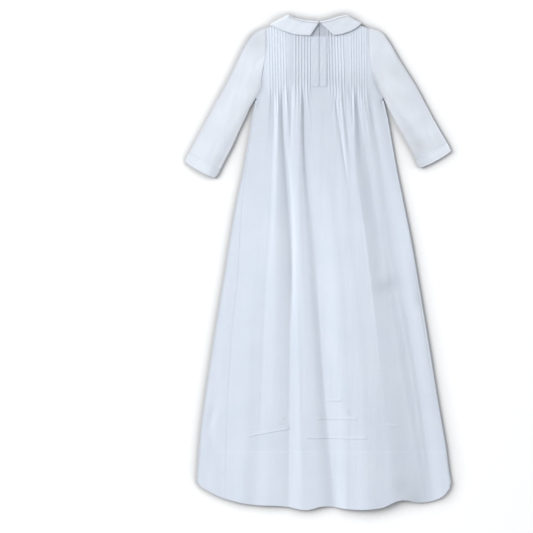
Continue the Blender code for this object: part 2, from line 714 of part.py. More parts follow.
# Collar ----------------------------------------------------------------------------------
def collar_half(name, shown, hidden, outward):
    """Leaf on the yoke, folded round the shoulder, with its other end under the gown."""
    centre = COLLAR_STACK / 2
    wall = Wall()
    row = None
    rows = [(k, "shown", 0) for k in range(len(shown["outer_side"]))]
    shoulder = len(rows) - 1
    rows += [(shoulder, "shown", turn) for turn in (36, 72, 108, 144, 180)]
    rows += [(k, "hidden", 180) for k in range(len(hidden["outer_side"]))]
    for k, leaf, turn in rows:
        edges = shown if leaf == "shown" else hidden
        outer_edge = np.array((edges["outer_side"][k], edges["outer_down"][k]))
        neck_edge = np.array((edges["neck_side"][k], edges["neck_down"][k]))
        curl = 1 - ease(turn, 0, 90)
        spots = [(outer_edge + (neck_edge - outer_edge) * t, 0) for t in (0, 0.3, 0.65, 1)]
        spots += [(neck_edge, angle) for angle in (30, 60, 85)]
        skins = []
        for depth in (0, COLLAR_CLOTH):
            points = []
            for spot, angle in spots:
                bent = math.radians(angle)
                reach = NECK_ROLL - depth
                along = curl * reach * math.sin(bent) + (1 - curl) * NECK_ROLL * bent * 0.6
                along *= 1 - 0.75 * math.sin(math.radians(turn))
                height = COLLAR_STACK - depth
                height -= curl * reach * (1 - math.cos(bent))
                radial = height - centre
                roll = math.radians(turn)
                swing = radial * math.sin(roll)
                points.append(place(spot[0] + outward[0] * swing,
                                    spot[1] + outward[1] * swing - along,
                                    centre + radial * math.cos(roll)))
            skins.append(points)
        next_row = wall.row(*skins)
        if row:
            wall.sew(row, next_row)
        row = next_row
    return make_object(name, wall.points, wall.close(), "white_lawn_double")


# What lies on the upper panel ------------------------------------------------------------
def laid_strip(name, start, end, width, rise, steps, material, crowned):
    """Strip laid on the upper panel along a line; a crowned one has a ridge."""
    wall = Wall()
    row = None
    start, end = np.array(start), np.array(end)
    along = (end - start) / np.linalg.norm(end - start)
    across = np.array((along[1], -along[0]))
    offsets = (-0.5, 0, 0.5) if crowned else (-0.5, -0.25, 0, 0.25, 0.5)
    for step in range(steps + 1):
        middle = start + (end - start) * step / steps
        spots = [middle + across * width * offset for offset in offsets]
        heights = [upper_height(x, down) + GAP for x, down in spots]
        if not crowned:
            heights = [max(heights)] * len(heights)
        outer = []
        for (x, down), height, offset in zip(spots, heights, offsets):
            share = 1 - abs(offset) if crowned else 1
            outer.append(place(x, down, height + rise * share))
        inner = [place(x, down, height) for (x, down), height in zip(spots, heights)]
        next_row = wall.row(outer, inner)
        if row:
            wall.sew(row, next_row)
        row = next_row
    return make_object(name, wall.points, wall.close(), material)


def placket_strip(name, sides):
    middle = (sides[0] + sides[1]) / 2
    return laid_strip(name, (middle, PLACKET_TOP), (middle, PLACKET_END), sides[1] - sides[0],
                      PLACKET_CLOTH, 10, "white_lawn_double", False)


def hem_tuck(name, start_side, start_down, end_side, end_down):
    length = math.hypot(end_side - start_side, end_down - start_down)
    return laid_strip(name, (start_side * MM, start_down * MM), (end_side * MM, end_down * MM),
                      HEM_TUCK_WIDTH, HEM_TUCK_RISE, max(4, round(length / 5)), "white_thread",
                      True)


# The gown --------------------------------------------------------------------------------
for old in list(bpy.data.objects):
    bpy.data.objects.remove(old)
MATERIAL_OBJECTS = make_materials()

back_panel()
front_panel()
sleeve("sleeve_left", SLEEVE_LEFT, "left")
sleeve("sleeve_right", SLEEVE_RIGHT, "right")
tube("cuff_left", CUFF_LEFT, None, "white_lawn_double")
tube("cuff_right", CUFF_RIGHT, None, "white_lawn_double")
collar_half("collar_left", COLLAR_LEFT, COLLAR_LEFT_HIDDEN, (-0.457, -0.889))
collar_half("collar_right", COLLAR_RIGHT, COLLAR_RIGHT_HIDDEN, (0.478, -0.878))
placket_strip("placket_left", PLACKET_LEFT)
placket_strip("placket_right", PLACKET_RIGHT)
for hem_tuck_row in HEM_TUCKS:
    hem_tuck(*hem_tuck_row)
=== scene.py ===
"""Looks of a baby's christening gown that lies flat with its neck opening upward.

Each piece is a thin shell of cloth on the form of its solid.  A place on the gown is given the
way a dressmaker gives it: `side`, how far to the right of the centre line, and `down`, how far
below the top of the collar.  Heights are above the surface that the gown lies on.
"""
import math

import bmesh
import bpy
import numpy as np
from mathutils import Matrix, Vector
from mathutils.bvhtree import BVHTree


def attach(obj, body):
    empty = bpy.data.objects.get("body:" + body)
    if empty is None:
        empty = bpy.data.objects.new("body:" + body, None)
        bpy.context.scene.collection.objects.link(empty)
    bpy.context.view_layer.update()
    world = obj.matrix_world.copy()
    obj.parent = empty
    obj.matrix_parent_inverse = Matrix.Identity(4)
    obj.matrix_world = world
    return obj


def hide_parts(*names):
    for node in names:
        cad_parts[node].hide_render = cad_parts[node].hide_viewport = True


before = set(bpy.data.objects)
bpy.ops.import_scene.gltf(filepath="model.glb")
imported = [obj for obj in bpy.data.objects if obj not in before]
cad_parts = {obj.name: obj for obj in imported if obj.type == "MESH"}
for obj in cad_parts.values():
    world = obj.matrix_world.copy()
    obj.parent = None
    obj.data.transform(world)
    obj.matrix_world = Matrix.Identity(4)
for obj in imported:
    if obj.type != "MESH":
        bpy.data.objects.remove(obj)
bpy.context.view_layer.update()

MM = 0.001

# Driving sizes, as in the solids
GOWN_LENGTH = 850 * MM
GAP = 0.3 * MM
WALL = 1.2 * MM                # thickness of the solids' walls
COLLAR_LIFT = WALL + GAP
FLAT_TOP = 2 * WALL + GAP + 0.2 * MM
YOKE_MIDDLE = 80 * MM
YOKE_BLEND = 60 * MM           # rows are straight from here down
SLIT_SIDE = 2.0 * MM
SLIT_HALF = 0.4 * MM
SLIT_END = 123 * MM
HEM_LEVEL = 750 * MM
COLLAR_STACK = 7.2 * MM
NECK_ROLL = 3.0 * MM
EDGE_SQUARENESS = 0.25         # how edges turn: 1 is a half circle, 0 a right angle

# Sizes of the thin shells
LAWN = 0.6 * MM
DOUBLE_LAWN = 0.9 * MM
SEAM_HALF_GAP = 0.03 * MM
HEM_RISE = 0.22 * MM


def table(names, *rows):
    """Short table in millimetres: a row for each section, a named column for each word."""
    columns = zip(*rows)
    return {name: np.array(column, float) * MM for name, column in zip(names.split(), columns)}


BODY = table(
    "down left right wrap_left wrap_right",
    (142, -107, 111.8, 3.6, 3.6),
    (179, -113.6, 120.4, 3.6, 3.6),
    (220, -120.4, 127.6, 3.6, 3.6),
    (262, -127.6, 135.1, 4.2, 3.8),
    (317, -139, 146.3, 9, 3.8),
    (385, -151, 160, 17, 3.8),
    (454, -161.7, 172, 23.5, 3.8),
    (523, -173.4, 183.6, 27.5, 3.8),
    (592, -184.1, 195, 33.5, 3.8),
    (661, -194.4, 206, 39.5, 3.8),
    (730, -203, 218, 46, 3.8),
    (764, -205.6, 223.4, 49, 3.8),
    (800, -208, 229, 51, 3.8),
)
ARMHOLE = table(
    "down left right",
    (24, -89.4, 86.2), (40, -88.6, 86.8),
    (60, -88.8, 88), (81, -92, 90.4),
    (107, -96.2, 96.4), (119, -96.9, 101),
    (126, -98.2, 104), (134, -101.6, 107.8),
    (142, -107, 111.8),
)
BACK_TOP = table(
    "side down",
    (-90, 24), (-80, 20), (-66, 12.5), (-53, 6), (-41, 10), (-27, 13.4),
    (-12, 15.2), (2, 15.6), (14, 14.8), (27, 10.4), (41, 6.6), (51, 6),
    (62, 12), (74, 18.5), (87, 24),
)
FRONT_TOP = table(
    "side down",
    (-90, 24), (-80, 20), (-66, 12.5), (-54, 6), (-49, 17), (-42, 27),
    (-31, 36), (-16, 42.5), (0, 44.5), (16, 42.5), (31, 36), (42, 27),
    (47, 17), (51.5, 6.2), (62, 12), (74, 18.5), (87, 24),
)
HEM = table(
    "side down",
    (-208, 800), (-203, 807), (-189, 817), (-174, 825), (-148, 834), (-107, 841.5),
    (-70, 843), (-50, 845), (-31, 849), (-17, 850), (3, 844.5), (24, 844.5),
    (46, 848), (93, 848), (107, 846), (119, 842), (127, 838), (135, 834.5),
    (148, 833), (169, 837), (188, 836.5), (203, 832.5), (217, 824), (225, 814),
    (229, 800),
)
ARM_TOP, ARMPIT = ARMHOLE["down"][0], ARMHOLE["down"][-1]

# Pintuck groups in millimetres.  The lean is for each unit of length, and the stitching ends at
# stitched_to.
TUCKS = (
    # first valley, last valley, count, lean, stitched_to, rise
    (-86.6, -53.5, 7, 0.020, 134, 0.30),
    (-42.0, -11.8, 6, 0.000, 123, 0.42),
    (15.8, 46.0, 6, 0.030, 123, 0.42),
    (54.0, 85.0, 7, 0.010, 134, 0.32),
)
PLAIN_COLUMNS = (5, 9, 10, 7, 5)        # grid columns before each group and after the last
SLIT_COLUMNS = 10                       # and those left of the slit
RIGHT_OF_SLIT = 2                       # group that comes next to the right of the slit
# One pintuck from its stitching to the next: the cloth rises to the fold, which lies to the
# right and ends in a steep edge.
TUCK_ACROSS = np.array((0, 0.10, 0.22, 0.38, 0.52, 0.60, 0.66, 0.72, 0.85, 1.0))
TUCK_SHAPE = np.array((0, 0.10, 0.50, 0.84, 0.98, 1.0, 0.88, 0.10, 0.0, 0.0))
TUCK_STEPS = len(TUCK_ACROSS) - 1
TUCK_CREST = 5

# How each tuck runs on below its stitching: length of the ridge that it leaves, and its rise.
RELEASES = (
    ((70, 0.3), (45, 0.3), (80, 0.5), (130, 0.8), (60, 0.4), (50, 0.4), (90, 0.7)),
    ((45, 0.4), (120, 0.7), (90, 0.5), (60, 0.4), (100, 0.6), (40, 0.3)),
    ((40, 0.3), (50, 0.4), (110, 0.7), (120, 0.8), (60, 0.4), (90, 0.6)),
    ((60, 0.4), (95, 0.7), (50, 0.4), (100, 0.5), (60, 0.4), (110, 0.6), (60, 0.3)),
)

FOLD_LEVELS = np.array((150, 250, 400, 560, 840)) * MM
FOLDS = (
    # name, crease before and after, side at each level, rise at each level
    ("left_hollow", 0, 0, (-98, -103, -116, -136, -152), (3.4, 3.9, 4.4, 4.5, 4.3)),
    ("left_swell", 0, 0, (-88, -90, -101, -117, -132), (3.9, 4.3, 4.8, 4.9, 4.9)),
    ("left_dip", 0, 0, (-78, -80, -87, -94, -110), (3.6, 4.4, 5.2, 5.0, 4.2)),
    ("first_ridge", 0, 0, (-68, -70, -72, -70.5, -82), (4.7, 5.6, 6.2, 5.7, 5.0)),
    ("first_valley", 1.2, 0.6, (-62, -56.5, -46.5, -48.5, -50.5), (3.3, 2.6, 3.0, 3.9, 3.6)),
    ("centre_ridge", 0, 0, (-29.6, -31.5, -29, -21, -28), (5.2, 5.0, 5.1, 5.9, 5.5)),
    ("centre_shelf", 0, 0, (-28, -29, -24, -13, 0), (4.7, 4.7, 4.8, 5.8, 5.2)),
    ("centre_valley", 1.2, 0.2, (-25.8, -22.5, -6, 4, 26.5), (2.9, 2.5, 2.2, 3.0, 2.1)),
    ("broad_panel", 0, 0, (5, 15.5, 34, 48, 52), (3.5, 3.8, 5.2, 6.7, 5.8)),
    ("broad_step", 0, 0, (44, 51, 58, 75, 89), (3.6, 5.1, 5.8, 7.6, 8.8)),
    ("right_ridge", 0.4, 0.5, (62.5, 63.7, 84, 101.5, 130), (5.0, 6.0, 6.7, 8.1, 8.0)),
    ("right_step", 0.3, 0, (67, 84, 109, 132, 182), (3.2, 3.0, 3.6, 6.4, 3.2)),
    ("right_swell", 0, 0, (81, 97, 119, 150, 191), (4.2, 3.6, 3.3, 5.0, 2.8)),
    ("right_hollow", 0, 0, (90, 107, 131, 161, 199), (3.6, 3.2, 2.9, 4.3, 2.7)),
    ("edge_swell", 0, 0, (99, 118, 160, 182, 213), (3.8, 3.9, 4.2, 5.0, 4.4)),
)
SHORT_FOLDS = (
    # side, down, end_side, end_down, rise, left_reach, right_reach
    (-92, 136, -98, 214, 0.4, 6, 6),
    (-84, 134, -87, 222, 0.4, 5, 4),
    (-54, 124, -53.5, 212, 0.9, 4, 4),
    (-41, 122, -40, 190, 0.5, 4, 4),
    (-17, 122, -19, 168, 0.4, 6, 5),
    (36.5, 122, 50, 262, 1.2, 3.5, 7),
    (49, 124, 55, 190, 0.5, 5, 4),
    (60, 126, 62, 200, 0.3, 6, 3.5),
    (71.5, 130, 80, 200, 0.6, 5, 5),
    (83, 132, 91, 204, 0.6, 5, 5),
    (95, 140, 116, 250, 0.5, 6, 6),
)
# Creases and small ridges that only the looks have.  Each runs through three places; a
# negative rise is a crease, a positive one a ridge.
CREASES = (
    # side, down, middle_side, middle_down, end_side, end_down, rise, left_reach, right_reach
    (-77, 130, -75, 180, -78, 240, -0.5, 3.0, 2.4),
    (-61, 124, -61.5, 186, -57, 262, -0.5, 2.4, 3.0),
    (-46, 120, -46.5, 190, -48, 240, -0.6, 2.4, 2.4),
    (-26, 112, -25.5, 200, -23, 260, -0.5, 2.0, 3.0),
    (27, 120, 37.5, 196, 55, 320, -0.9, 3.4, 2.2),
    (40, 120, 49, 196, 57, 260, -0.5, 2.4, 3.4),
    (56, 120, 59, 160, 61, 204, -0.7, 2.6, 2.4),
    (65, 126, 69.5, 196, 77, 290, -0.8, 3.0, 6.0),
    (87, 138, 99, 196, 114, 290, -0.4, 4.0, 4.0),
    (-58, 210, -49, 315, -46, 560, -1.2, 2.8, 4.0),
    (-23, 210, -13.5, 320, 1, 560, -1.2, 2.8, 4.0),
    (-116, 350, -131, 489, -150, 640, -0.25, 8.0, 6.0),
    (-84, 360, -93, 520, -99, 760, -0.25, 7.0, 6.0),
    (-35, 420, -33, 620, -16, 1000, 0.3, 6.0, 4.0),
    (10, 560, 22, 680, 34, 842, 0.15, 8.0, 8.0),
    (98, 270, 112, 420, 131, 640, 0.15, 6.0, 7.0),
    (70.5, 300, 91.7, 470, 109.5, 640, 0.2, 2.4, 2.2),
    (164, 520, 184, 660, 206, 800, 0.4, 5.0, 6.0),
)
# Soft dents: where, how far each reaches across and along, its turn in degrees, and its rise.
DENTS = (
    # side, down, across, along, turn, rise
    (124, 471, 26, 13, -6, -2.1),
    (140, 500, 30, 26, 10, -0.7),
    (103, 442, 14, 26, 4, -0.5),
    (150, 812, 16, 14, 30, -1.7),
    (-182, 690, 7, 26, 18, -0.6),
    (-176, 742, 8, 18, -24, -0.5),
    (-120, 748, 24, 12, 8, 0.2),
    (20, 210, 16, 30, 8, 0.3),
)


# Curves
def smooth(value, levels, values):
    """Smooth curve through a table's rows: cubic pieces with centred slopes."""
    value = np.clip(value, levels[0], levels[-1])
    slopes = np.gradient(values, levels)
    i = np.clip(np.searchsorted(levels, value, side="right") - 1, 0, len(levels) - 2)
    span = levels[i + 1] - levels[i]
    t = (value - levels[i]) / span
    rest = 1 - t
    return (values[i] * rest * rest * (1 + 2 * t) + values[i + 1] * t * t * (3 - 2 * t)
            + slopes[i] * span * t * rest * rest - slopes[i + 1] * span * t * t * rest)


def ease(value, start, end):
    """0 before start, 1 after end, with a soft turn at both."""
    t = np.clip((value - start) / (end - start), 0, 1)
    return t * t * (3 - 2 * t)


def bell(offset, reach):
    """Soft bump: 1 in its middle, fading with distance."""
    return np.exp(-(offset / reach) ** 2)


def fade_ends(share, first, last):
    """1 between the first and the last part of a run from 0 to 1, easing to 0 at both ends."""
    return ease(share, 0, first) * ease(1 - share, 0, last)


def column_at(sections, column, k):
    """Value of a column at row k of its table; k may lie between two rows."""
    values = sections[column]
    return smooth(k, np.arange(len(values), dtype=float), values)


def edge_at(sections, edge, k):
    """Place of one edge at row k of its table."""
    return np.stack([column_at(sections, f"{edge}_{way}", k) for way in ("side", "down")], -1)


def body_edge(column, down):
    return smooth(down, BODY["down"], BODY[column])


def armhole_edge(column, down):
    return np.interp(down, ARMHOLE["down"], ARMHOLE[column])


def edge_height(down):
    """Height of the rounded fold along the body's side edges."""
    return (3.3 + 0.9 * ease(down, 150 * MM, 420 * MM)) * MM


def collar_lift(side, down):
    """How far the layers rise over the collar's hidden half."""
    reach = ((side / (88 * MM)) ** 4 + ((down - 36 * MM) / (50 * MM)) ** 4) ** 0.25
    return COLLAR_LIFT * (1 - ease(reach, 1.0, 1.75))


def ripple(side, down, across, along, seed):
    """Uneven ripples from -1 to 1: their size across the gown and along it."""
    u, v = side / across, down / along
    warp = np.sin(1.7 * v + 0.6 * u + seed) + 0.6 * np.sin(2.9 * v - 1.1 * u + 2.3 * seed)
    first = np.sin(u + 1.3 * warp + 1.9 * seed)
    second = np.sin(1.62 * u - 0.9 * warp + 0.7 * seed + 0.8 * v)
    return 0.5 * (first + second)


# Height of the upper side
def panel_sides(down):
    """Left and right edge of the upper panel at a level."""
    left = body_edge("left", down) + body_edge("wrap_left", down) + SEAM_HALF_GAP
    right = body_edge("right", down) - body_edge("wrap_right", down) - SEAM_HALF_GAP
    turn = ease(down, ARMPIT, ARMPIT + 6 * MM)
    arm_left = armhole_edge("left", down) + SEAM_HALF_GAP
    arm_right = armhole_edge("right", down) - SEAM_HALF_GAP
    return arm_left + (left - arm_left) * turn, arm_right + (right - arm_right) * turn


def fold_lines(down):
    """Side, height and crease of every fold line at each level, edges included."""
    down = np.asarray(down, float)
    left, right = panel_sides(down)
    inner = [[smooth(down, FOLD_LEVELS, np.array(values) * MM) for values in fold[3:]]
             for fold in FOLDS]
    sides = np.array([left] + [side for side, _ in inner] + [right])
    rises = np.array([edge_height(down)] + [rise for _, rise in inner] + [edge_height(down)])
    creases = np.array([(1.0, 1.0)] + [fold[1:3] for fold in FOLDS] + [(1.0, 1.0)])
    order = (np.arange(len(sides)) * 0.5 * MM).reshape((-1,) + (1,) * down.ndim)
    return np.clip(sides, left + order, right - order[::-1]), rises, creases


def fold_height(side, down):
    """Height of the skirt's folds."""
    sides, rises, creases = fold_lines(down)
    i = np.clip((side >= sides).sum(axis=0) - 1, 0, len(sides) - 2)

    def at(values, k):
        return np.take_along_axis(values, k[None], axis=0)[0]

    start, end = at(sides, i), at(sides, i + 1)
    t = np.clip((side - start) / (end - start), 0, 1)
    rest = 1 - t
    share = (t * t * (3 - 2 * t) + 1.4 * creases[i, 1] * t * rest * rest
             - 1.4 * creases[i + 1, 0] * t * t * rest)
    return at(rises, i) + (at(rises, i + 1) - at(rises, i)) * share


def short_fold_height(side, down):
    """Extra height from the folds that spring from the released tucks."""
    total = np.zeros_like(side)
    for start, top, end, bottom, rise, left_reach, right_reach in SHORT_FOLDS:
        along = np.clip((down / MM - top + 12) / (bottom - top + 12), 0, 1)
        off = side / MM - (start + (end - start) * along)
        reach = np.where(off < 0, left_reach, right_reach)
        swell = np.minimum(along * 5, 1) * (1 - along) ** 0.7
        total += rise * MM * swell * np.exp(-(off / reach) ** 2 * 2.2)
    return total


def crease_height(side, down):
    """Extra height from the creases: a cusp for a crease, a round crest for a ridge."""
    total = np.zeros_like(side)
    for start, top, middle, level, end, bottom, rise, left_reach, right_reach in CREASES:
        along = np.clip((down / MM - top) / (bottom - top), 0, 1)
        bend = (level - top) / (bottom - top)
        bow = (middle - start - (end - start) * bend) / (bend * (1 - bend))
        off = side / MM - (start + (end - start) * along + bow * along * (1 - along))
        reach = np.where(off < 0, left_reach, right_reach)
        fade = ease(along, 0, 0.2) * (1 - ease(along, 0.55, 1))
        power = 1.25 if rise < 0 else 2.0
        total += rise * MM * fade * np.exp(-np.abs(off / reach) ** power)
    return total


def dent_height(side, down):
    total = np.zeros_like(side)
    for at_side, at_down, across, along, turn, rise in DENTS:
        x, y = side / MM - at_side, down / MM - at_down
        cosine, sine = math.cos(math.radians(turn)), math.sin(math.radians(turn))
        u, v = (x * cosine + y * sine) / across, (y * cosine - x * sine) / along
        total += rise * MM * np.exp(-u * u - v * v)
    return total


def base_height(side, down):
    """Height of the upper side without its pintucks and hem step."""
    released = ease(down, 116 * MM, 160 * MM)
    folds = fold_height(side, down) - FLAT_TOP
    return (FLAT_TOP + folds * released + short_fold_height(side, down)
            + collar_lift(side, down))


def fine_height(side, down):
    """Small uneven forms of the upper side."""
    left, right = panel_sides(down)
    inside = ease(side - left, 0, 14 * MM) * ease(right - side, 0, 14 * MM)
    skirt = ease(down, 128 * MM, 190 * MM)
    slow = 0.10 * MM * ripple(side, down, 9.5 * MM, 170 * MM, 1.0)
    quick = 0.03 * MM * ripple(side, down, 3.1 * MM, 60 * MM, 4.0)
    cross = 0.08 * MM * ripple(down, side, 14 * MM, 40 * MM, 2.0)
    creases = crease_height(side, down) + dent_height(side, down)
    yoke = 0.05 * MM * ripple(side, down, 5 * MM, 14 * MM, 3.0) * (1 - skirt)
    return inside * (skirt * (slow + quick + cross) + creases) + yoke


# Meshes
def place(side, down, rise):
    return np.stack(np.broadcast_arrays(side, GOWN_LENGTH / 2 - down, rise), axis=-1)


def grid_quads(numbers, wanted=None, closed=False):
    """Quads of a grid of point numbers; a closed one joins its last column to its first."""
    if closed:
        numbers = np.concatenate((numbers, numbers[:, :1]), axis=1)
    quads = np.stack((numbers[:-1, :-1], numbers[1:, :-1], numbers[1:, 1:], numbers[:-1, 1:]), -1)
    if wanted is not None:
        quads = quads[wanted]
    return quads.reshape(-1, 4)


def rim_faces(loop, outer_numbers, twins):
    """Faces between both skins along a loop of grid places; twins are on the inner skin."""
    faces = []
    last = twins[loop[0]]
    for spot, following in zip(loop[:-1], loop[1:]):
        a, b = int(outer_numbers[spot]), int(outer_numbers[following])
        if a == b:
            continue
        faces.append((a, b, last))
        if following in twins and twins[following] != last:
            faces.append((b, twins[following], last))
            last = twins[following]
    return faces


def make_mesh(name, points, faces, sharp=50):
    """Mesh with its faces pointing out.  Nothing reaches below the surface it lies on."""
    mesh = bpy.data.meshes.new(name)
    mesh.from_pydata([(x, y, max(z, 0.0)) for x, y, z in points], [], faces)
    shell = bmesh.new()
    shell.from_mesh(mesh)
    bmesh.ops.recalc_face_normals(shell, faces=shell.faces[:])
    shell.to_mesh(mesh)
    shell.free()
    mesh.shade_smooth()
    mesh.set_sharp_from_angle(angle=math.radians(sharp))
    return mesh


def make_piece(name, mesh, material, node=None):
    piece = bpy.data.objects.new(name, mesh)
    bpy.context.collection.objects.link(piece)
    mesh.materials.append(material)
    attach(piece, "root")
    if node:
        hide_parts(node)
    return piece


def shell_mesh(name, outer, inner, rows=None, columns=None, loops=(), wanted=None,
               closed=False):
    """Cloth between a fine outer skin and an inner one on some of its rows and columns."""
    rows = np.arange(outer.shape[0]) if rows is None else rows
    columns = np.arange(outer.shape[1]) if columns is None else columns
    outer_numbers = np.arange(outer[..., 0].size).reshape(outer.shape[:2])
    inner_numbers = outer_numbers.size + np.arange(inner[..., 0].size).reshape(inner.shape[:2])
    inner_wanted = None if wanted is None else wanted[np.ix_(rows[:-1], columns[:-1])]
    faces = grid_quads(outer_numbers, wanted, closed).tolist()
    faces += grid_quads(inner_numbers, inner_wanted, closed)[:, ::-1].tolist()
    twins = {(int(r), int(c)): int(inner_numbers[i, j])
             for i, r in enumerate(rows) for j, c in enumerate(columns)}
    for loop in loops:
        faces += rim_faces(loop, outer_numbers, twins)
    points = np.concatenate((outer.reshape(-1, 3), inner.reshape(-1, 3)))
    return make_mesh(name, points.tolist(), faces)


def line_of(rows, columns):
    """Grid places from one corner to another along a row or a column."""
    return [(r, c) for r in rows for c in columns]


def grid_loop(last_row, last_column):
    """The four sides of a grid."""
    return (line_of((0,), range(last_column + 1))
            + line_of(range(1, last_row + 1), (last_column,))
            + line_of((last_row,), range(last_column - 1, -1, -1))
            + line_of(range(last_row - 1, -1, -1), (0,)))


def leaf_piece(node, outer, inner, material, slot):
    """Piece from a grid of cloth that is closed round its four sides."""
    outer, inner = np.array(outer), np.array(inner)
    loop = grid_loop(outer.shape[0] - 1, outer.shape[1] - 1)
    mesh = shell_mesh(f"{node}_cloth", outer, inner, loops=[loop])
    return make_piece(f"{node}_cloth", mesh, material, node)


def tube_piece(node, outer, inner, material, slot):
    """Piece from the rings of a tube that is open at both ends."""
    rows, count = outer.shape[:2]
    loops = [[(row, c % count) for c in range(count + 1)] for row in (0, rows - 1)]
    mesh = shell_mesh(f"{node}_cloth", outer, inner, loops=loops, closed=True)
    return make_piece(f"{node}_cloth", mesh, material, node)


# Upper panel
def yoke_columns(level):
    """Sides of all columns across the tucked yoke, and the number of the slit's column."""
    left, right = panel_sides(level)
    columns = [left]
    slit = None

    def plain(end, count):
        start = columns[-1]
        columns.extend(start + (end - start) * (k + 1) / count for k in range(count))

    for plain_count, (first, last, count, lean, *_) in zip(PLAIN_COLUMNS, TUCKS):
        shift = lean * (level - YOKE_MIDDLE)
        if columns[-1] < SLIT_SIDE < first * MM:
            plain(SLIT_SIDE - SLIT_HALF, SLIT_COLUMNS)
            slit = len(columns) - 1
            columns.append(SLIT_SIDE + SLIT_HALF)
        plain(first * MM + shift, plain_count)
        spacing = (last - first) / count
        for k in range(count):
            columns.extend((first + (k + TUCK_ACROSS[1:]) * spacing) * MM + shift)
    plain(right, PLAIN_COLUMNS[-1])
    return np.array(columns), slit


def tuck_height(side, down):
    """Height of the stitched pintucks."""
    total = np.zeros_like(side)
    for number, (first, last, count, lean, stitched_to, rise) in enumerate(TUCKS):
        across = (side - lean * (down - YOKE_MIDDLE)) / MM - first
        inside = (across > 0) & (across < last - first)
        t = np.clip(across * count / (last - first), 0, count)
        shape = np.interp(t % 1.0, TUCK_ACROSS, TUCK_SHAPE)
        held = 1 - ease(down, stitched_to * MM, (stitched_to + 10) * MM)
        uneven = 1 + 0.10 * np.sin(2.4 * np.floor(t) + 5 * number + down / (21 * MM))
        total += np.where(inside, rise * MM * shape * held * uneven, 0)
    return total


def release_height(columns, down):
    """Ridges that the tucks leave below their stitching, along the grid's own columns."""
    total = np.zeros_like(down)
    column = 0
    for plain_count, group, ridges in zip(PLAIN_COLUMNS, TUCKS, RELEASES):
        _, _, count, _, stitched_to, _ = group
        column += plain_count
        if group is TUCKS[RIGHT_OF_SLIT]:
            column += SLIT_COLUMNS + 1
        for k, (length, rise) in enumerate(ridges):
            crest = column + k * TUCK_STEPS + TUCK_CREST
            along = (down / MM - stitched_to) / length
            strength = ease(along, -0.02, 8 / length) * (1 - np.clip(along, 0, 1)) ** 1.3
            spread = 2.6 + 2.6 * np.clip(along, 0, 1)
            total += rise * MM * strength * bell(columns - crest, spread)
        column += count * TUCK_STEPS
    return total


def neck_level(side, neck, share):
    """Level of a row of the yoke: share 0 is the neck's edge, 1 is the first straight row."""
    top = smooth(side, neck["side"], neck["down"])
    return top + (YOKE_BLEND - top) * share


def shoulder_level(share):
    """Level at which such a row meets the armholes."""
    return ARM_TOP + (YOKE_BLEND - ARM_TOP) * share


def hem_level(side, share):
    """Level of a row in the hem: share 0 is the hem's top edge, 1 is its bottom edge."""
    hem = smooth(side, HEM["side"], HEM["down"])
    return HEM_LEVEL + (hem - HEM_LEVEL) * share


def skirt_rows():
    """Nominal level and hem share of each row below the yoke."""
    levels = np.concatenate((np.arange(61.8, 124, 1.8), np.arange(124.8, 176, 1.6),
                             np.linspace(178, 748.6, 150))) * MM
    shares = (0, 0.006, 0.02, 0.06, *(0.12 + 0.08 * np.arange(10)), 0.91, 0.96, 0.985, 1)
    depth = HEM["down"][0] - HEM_LEVEL
    return ([(level, None) for level in levels]
            + [(HEM_LEVEL + depth * share, share) for share in shares])


def panel_grid():
    """Side and down of every point of the upper panel, its slit column, and its slit's end."""
    sides, downs = [], []
    locked_at = 150 * MM
    yoke, slit = yoke_columns(locked_at)
    locks = np.array([int(np.argmin(np.abs(yoke - line))) for line in fold_lines(locked_at)[0]])
    numbers = np.arange(len(yoke))
    for share in np.linspace(0, 1, 28):
        columns, _ = yoke_columns(shoulder_level(share))
        sides.append(columns)
        downs.append(neck_level(columns, BACK_TOP, share))
    slit_row = 0
    for level, share in skirt_rows():
        columns, _ = yoke_columns(level)
        free = np.interp(numbers, locks, fold_lines(level)[0])
        if share is not None:
            for _ in range(3):
                lines = fold_lines(hem_level(free, share))[0]
                free = np.array([np.interp(j, locks, lines[:, j]) for j in numbers])
        columns = columns + (free - columns) * ease(level, 128 * MM, 176 * MM)
        sides.append(columns)
        downs.append(np.full_like(columns, level) if share is None else hem_level(columns, share))
        if level <= SLIT_END:
            slit_row = len(sides) - 1
    return np.array(sides), np.array(downs), slit, slit_row


def step_picks(count, step, *kept):
    """Every step-th number below count, with some numbers kept."""
    return np.array(sorted({*range(0, count, step), count - 1, *kept}))


def lowest_near(heights):
    """Lowest height among each point of a grid and its eight neighbours."""
    framed = np.pad(heights, 1, mode="edge")
    rows, columns = heights.shape
    return np.min([framed[r:r + rows, c:c + columns] for r in range(3) for c in range(3)], axis=0)


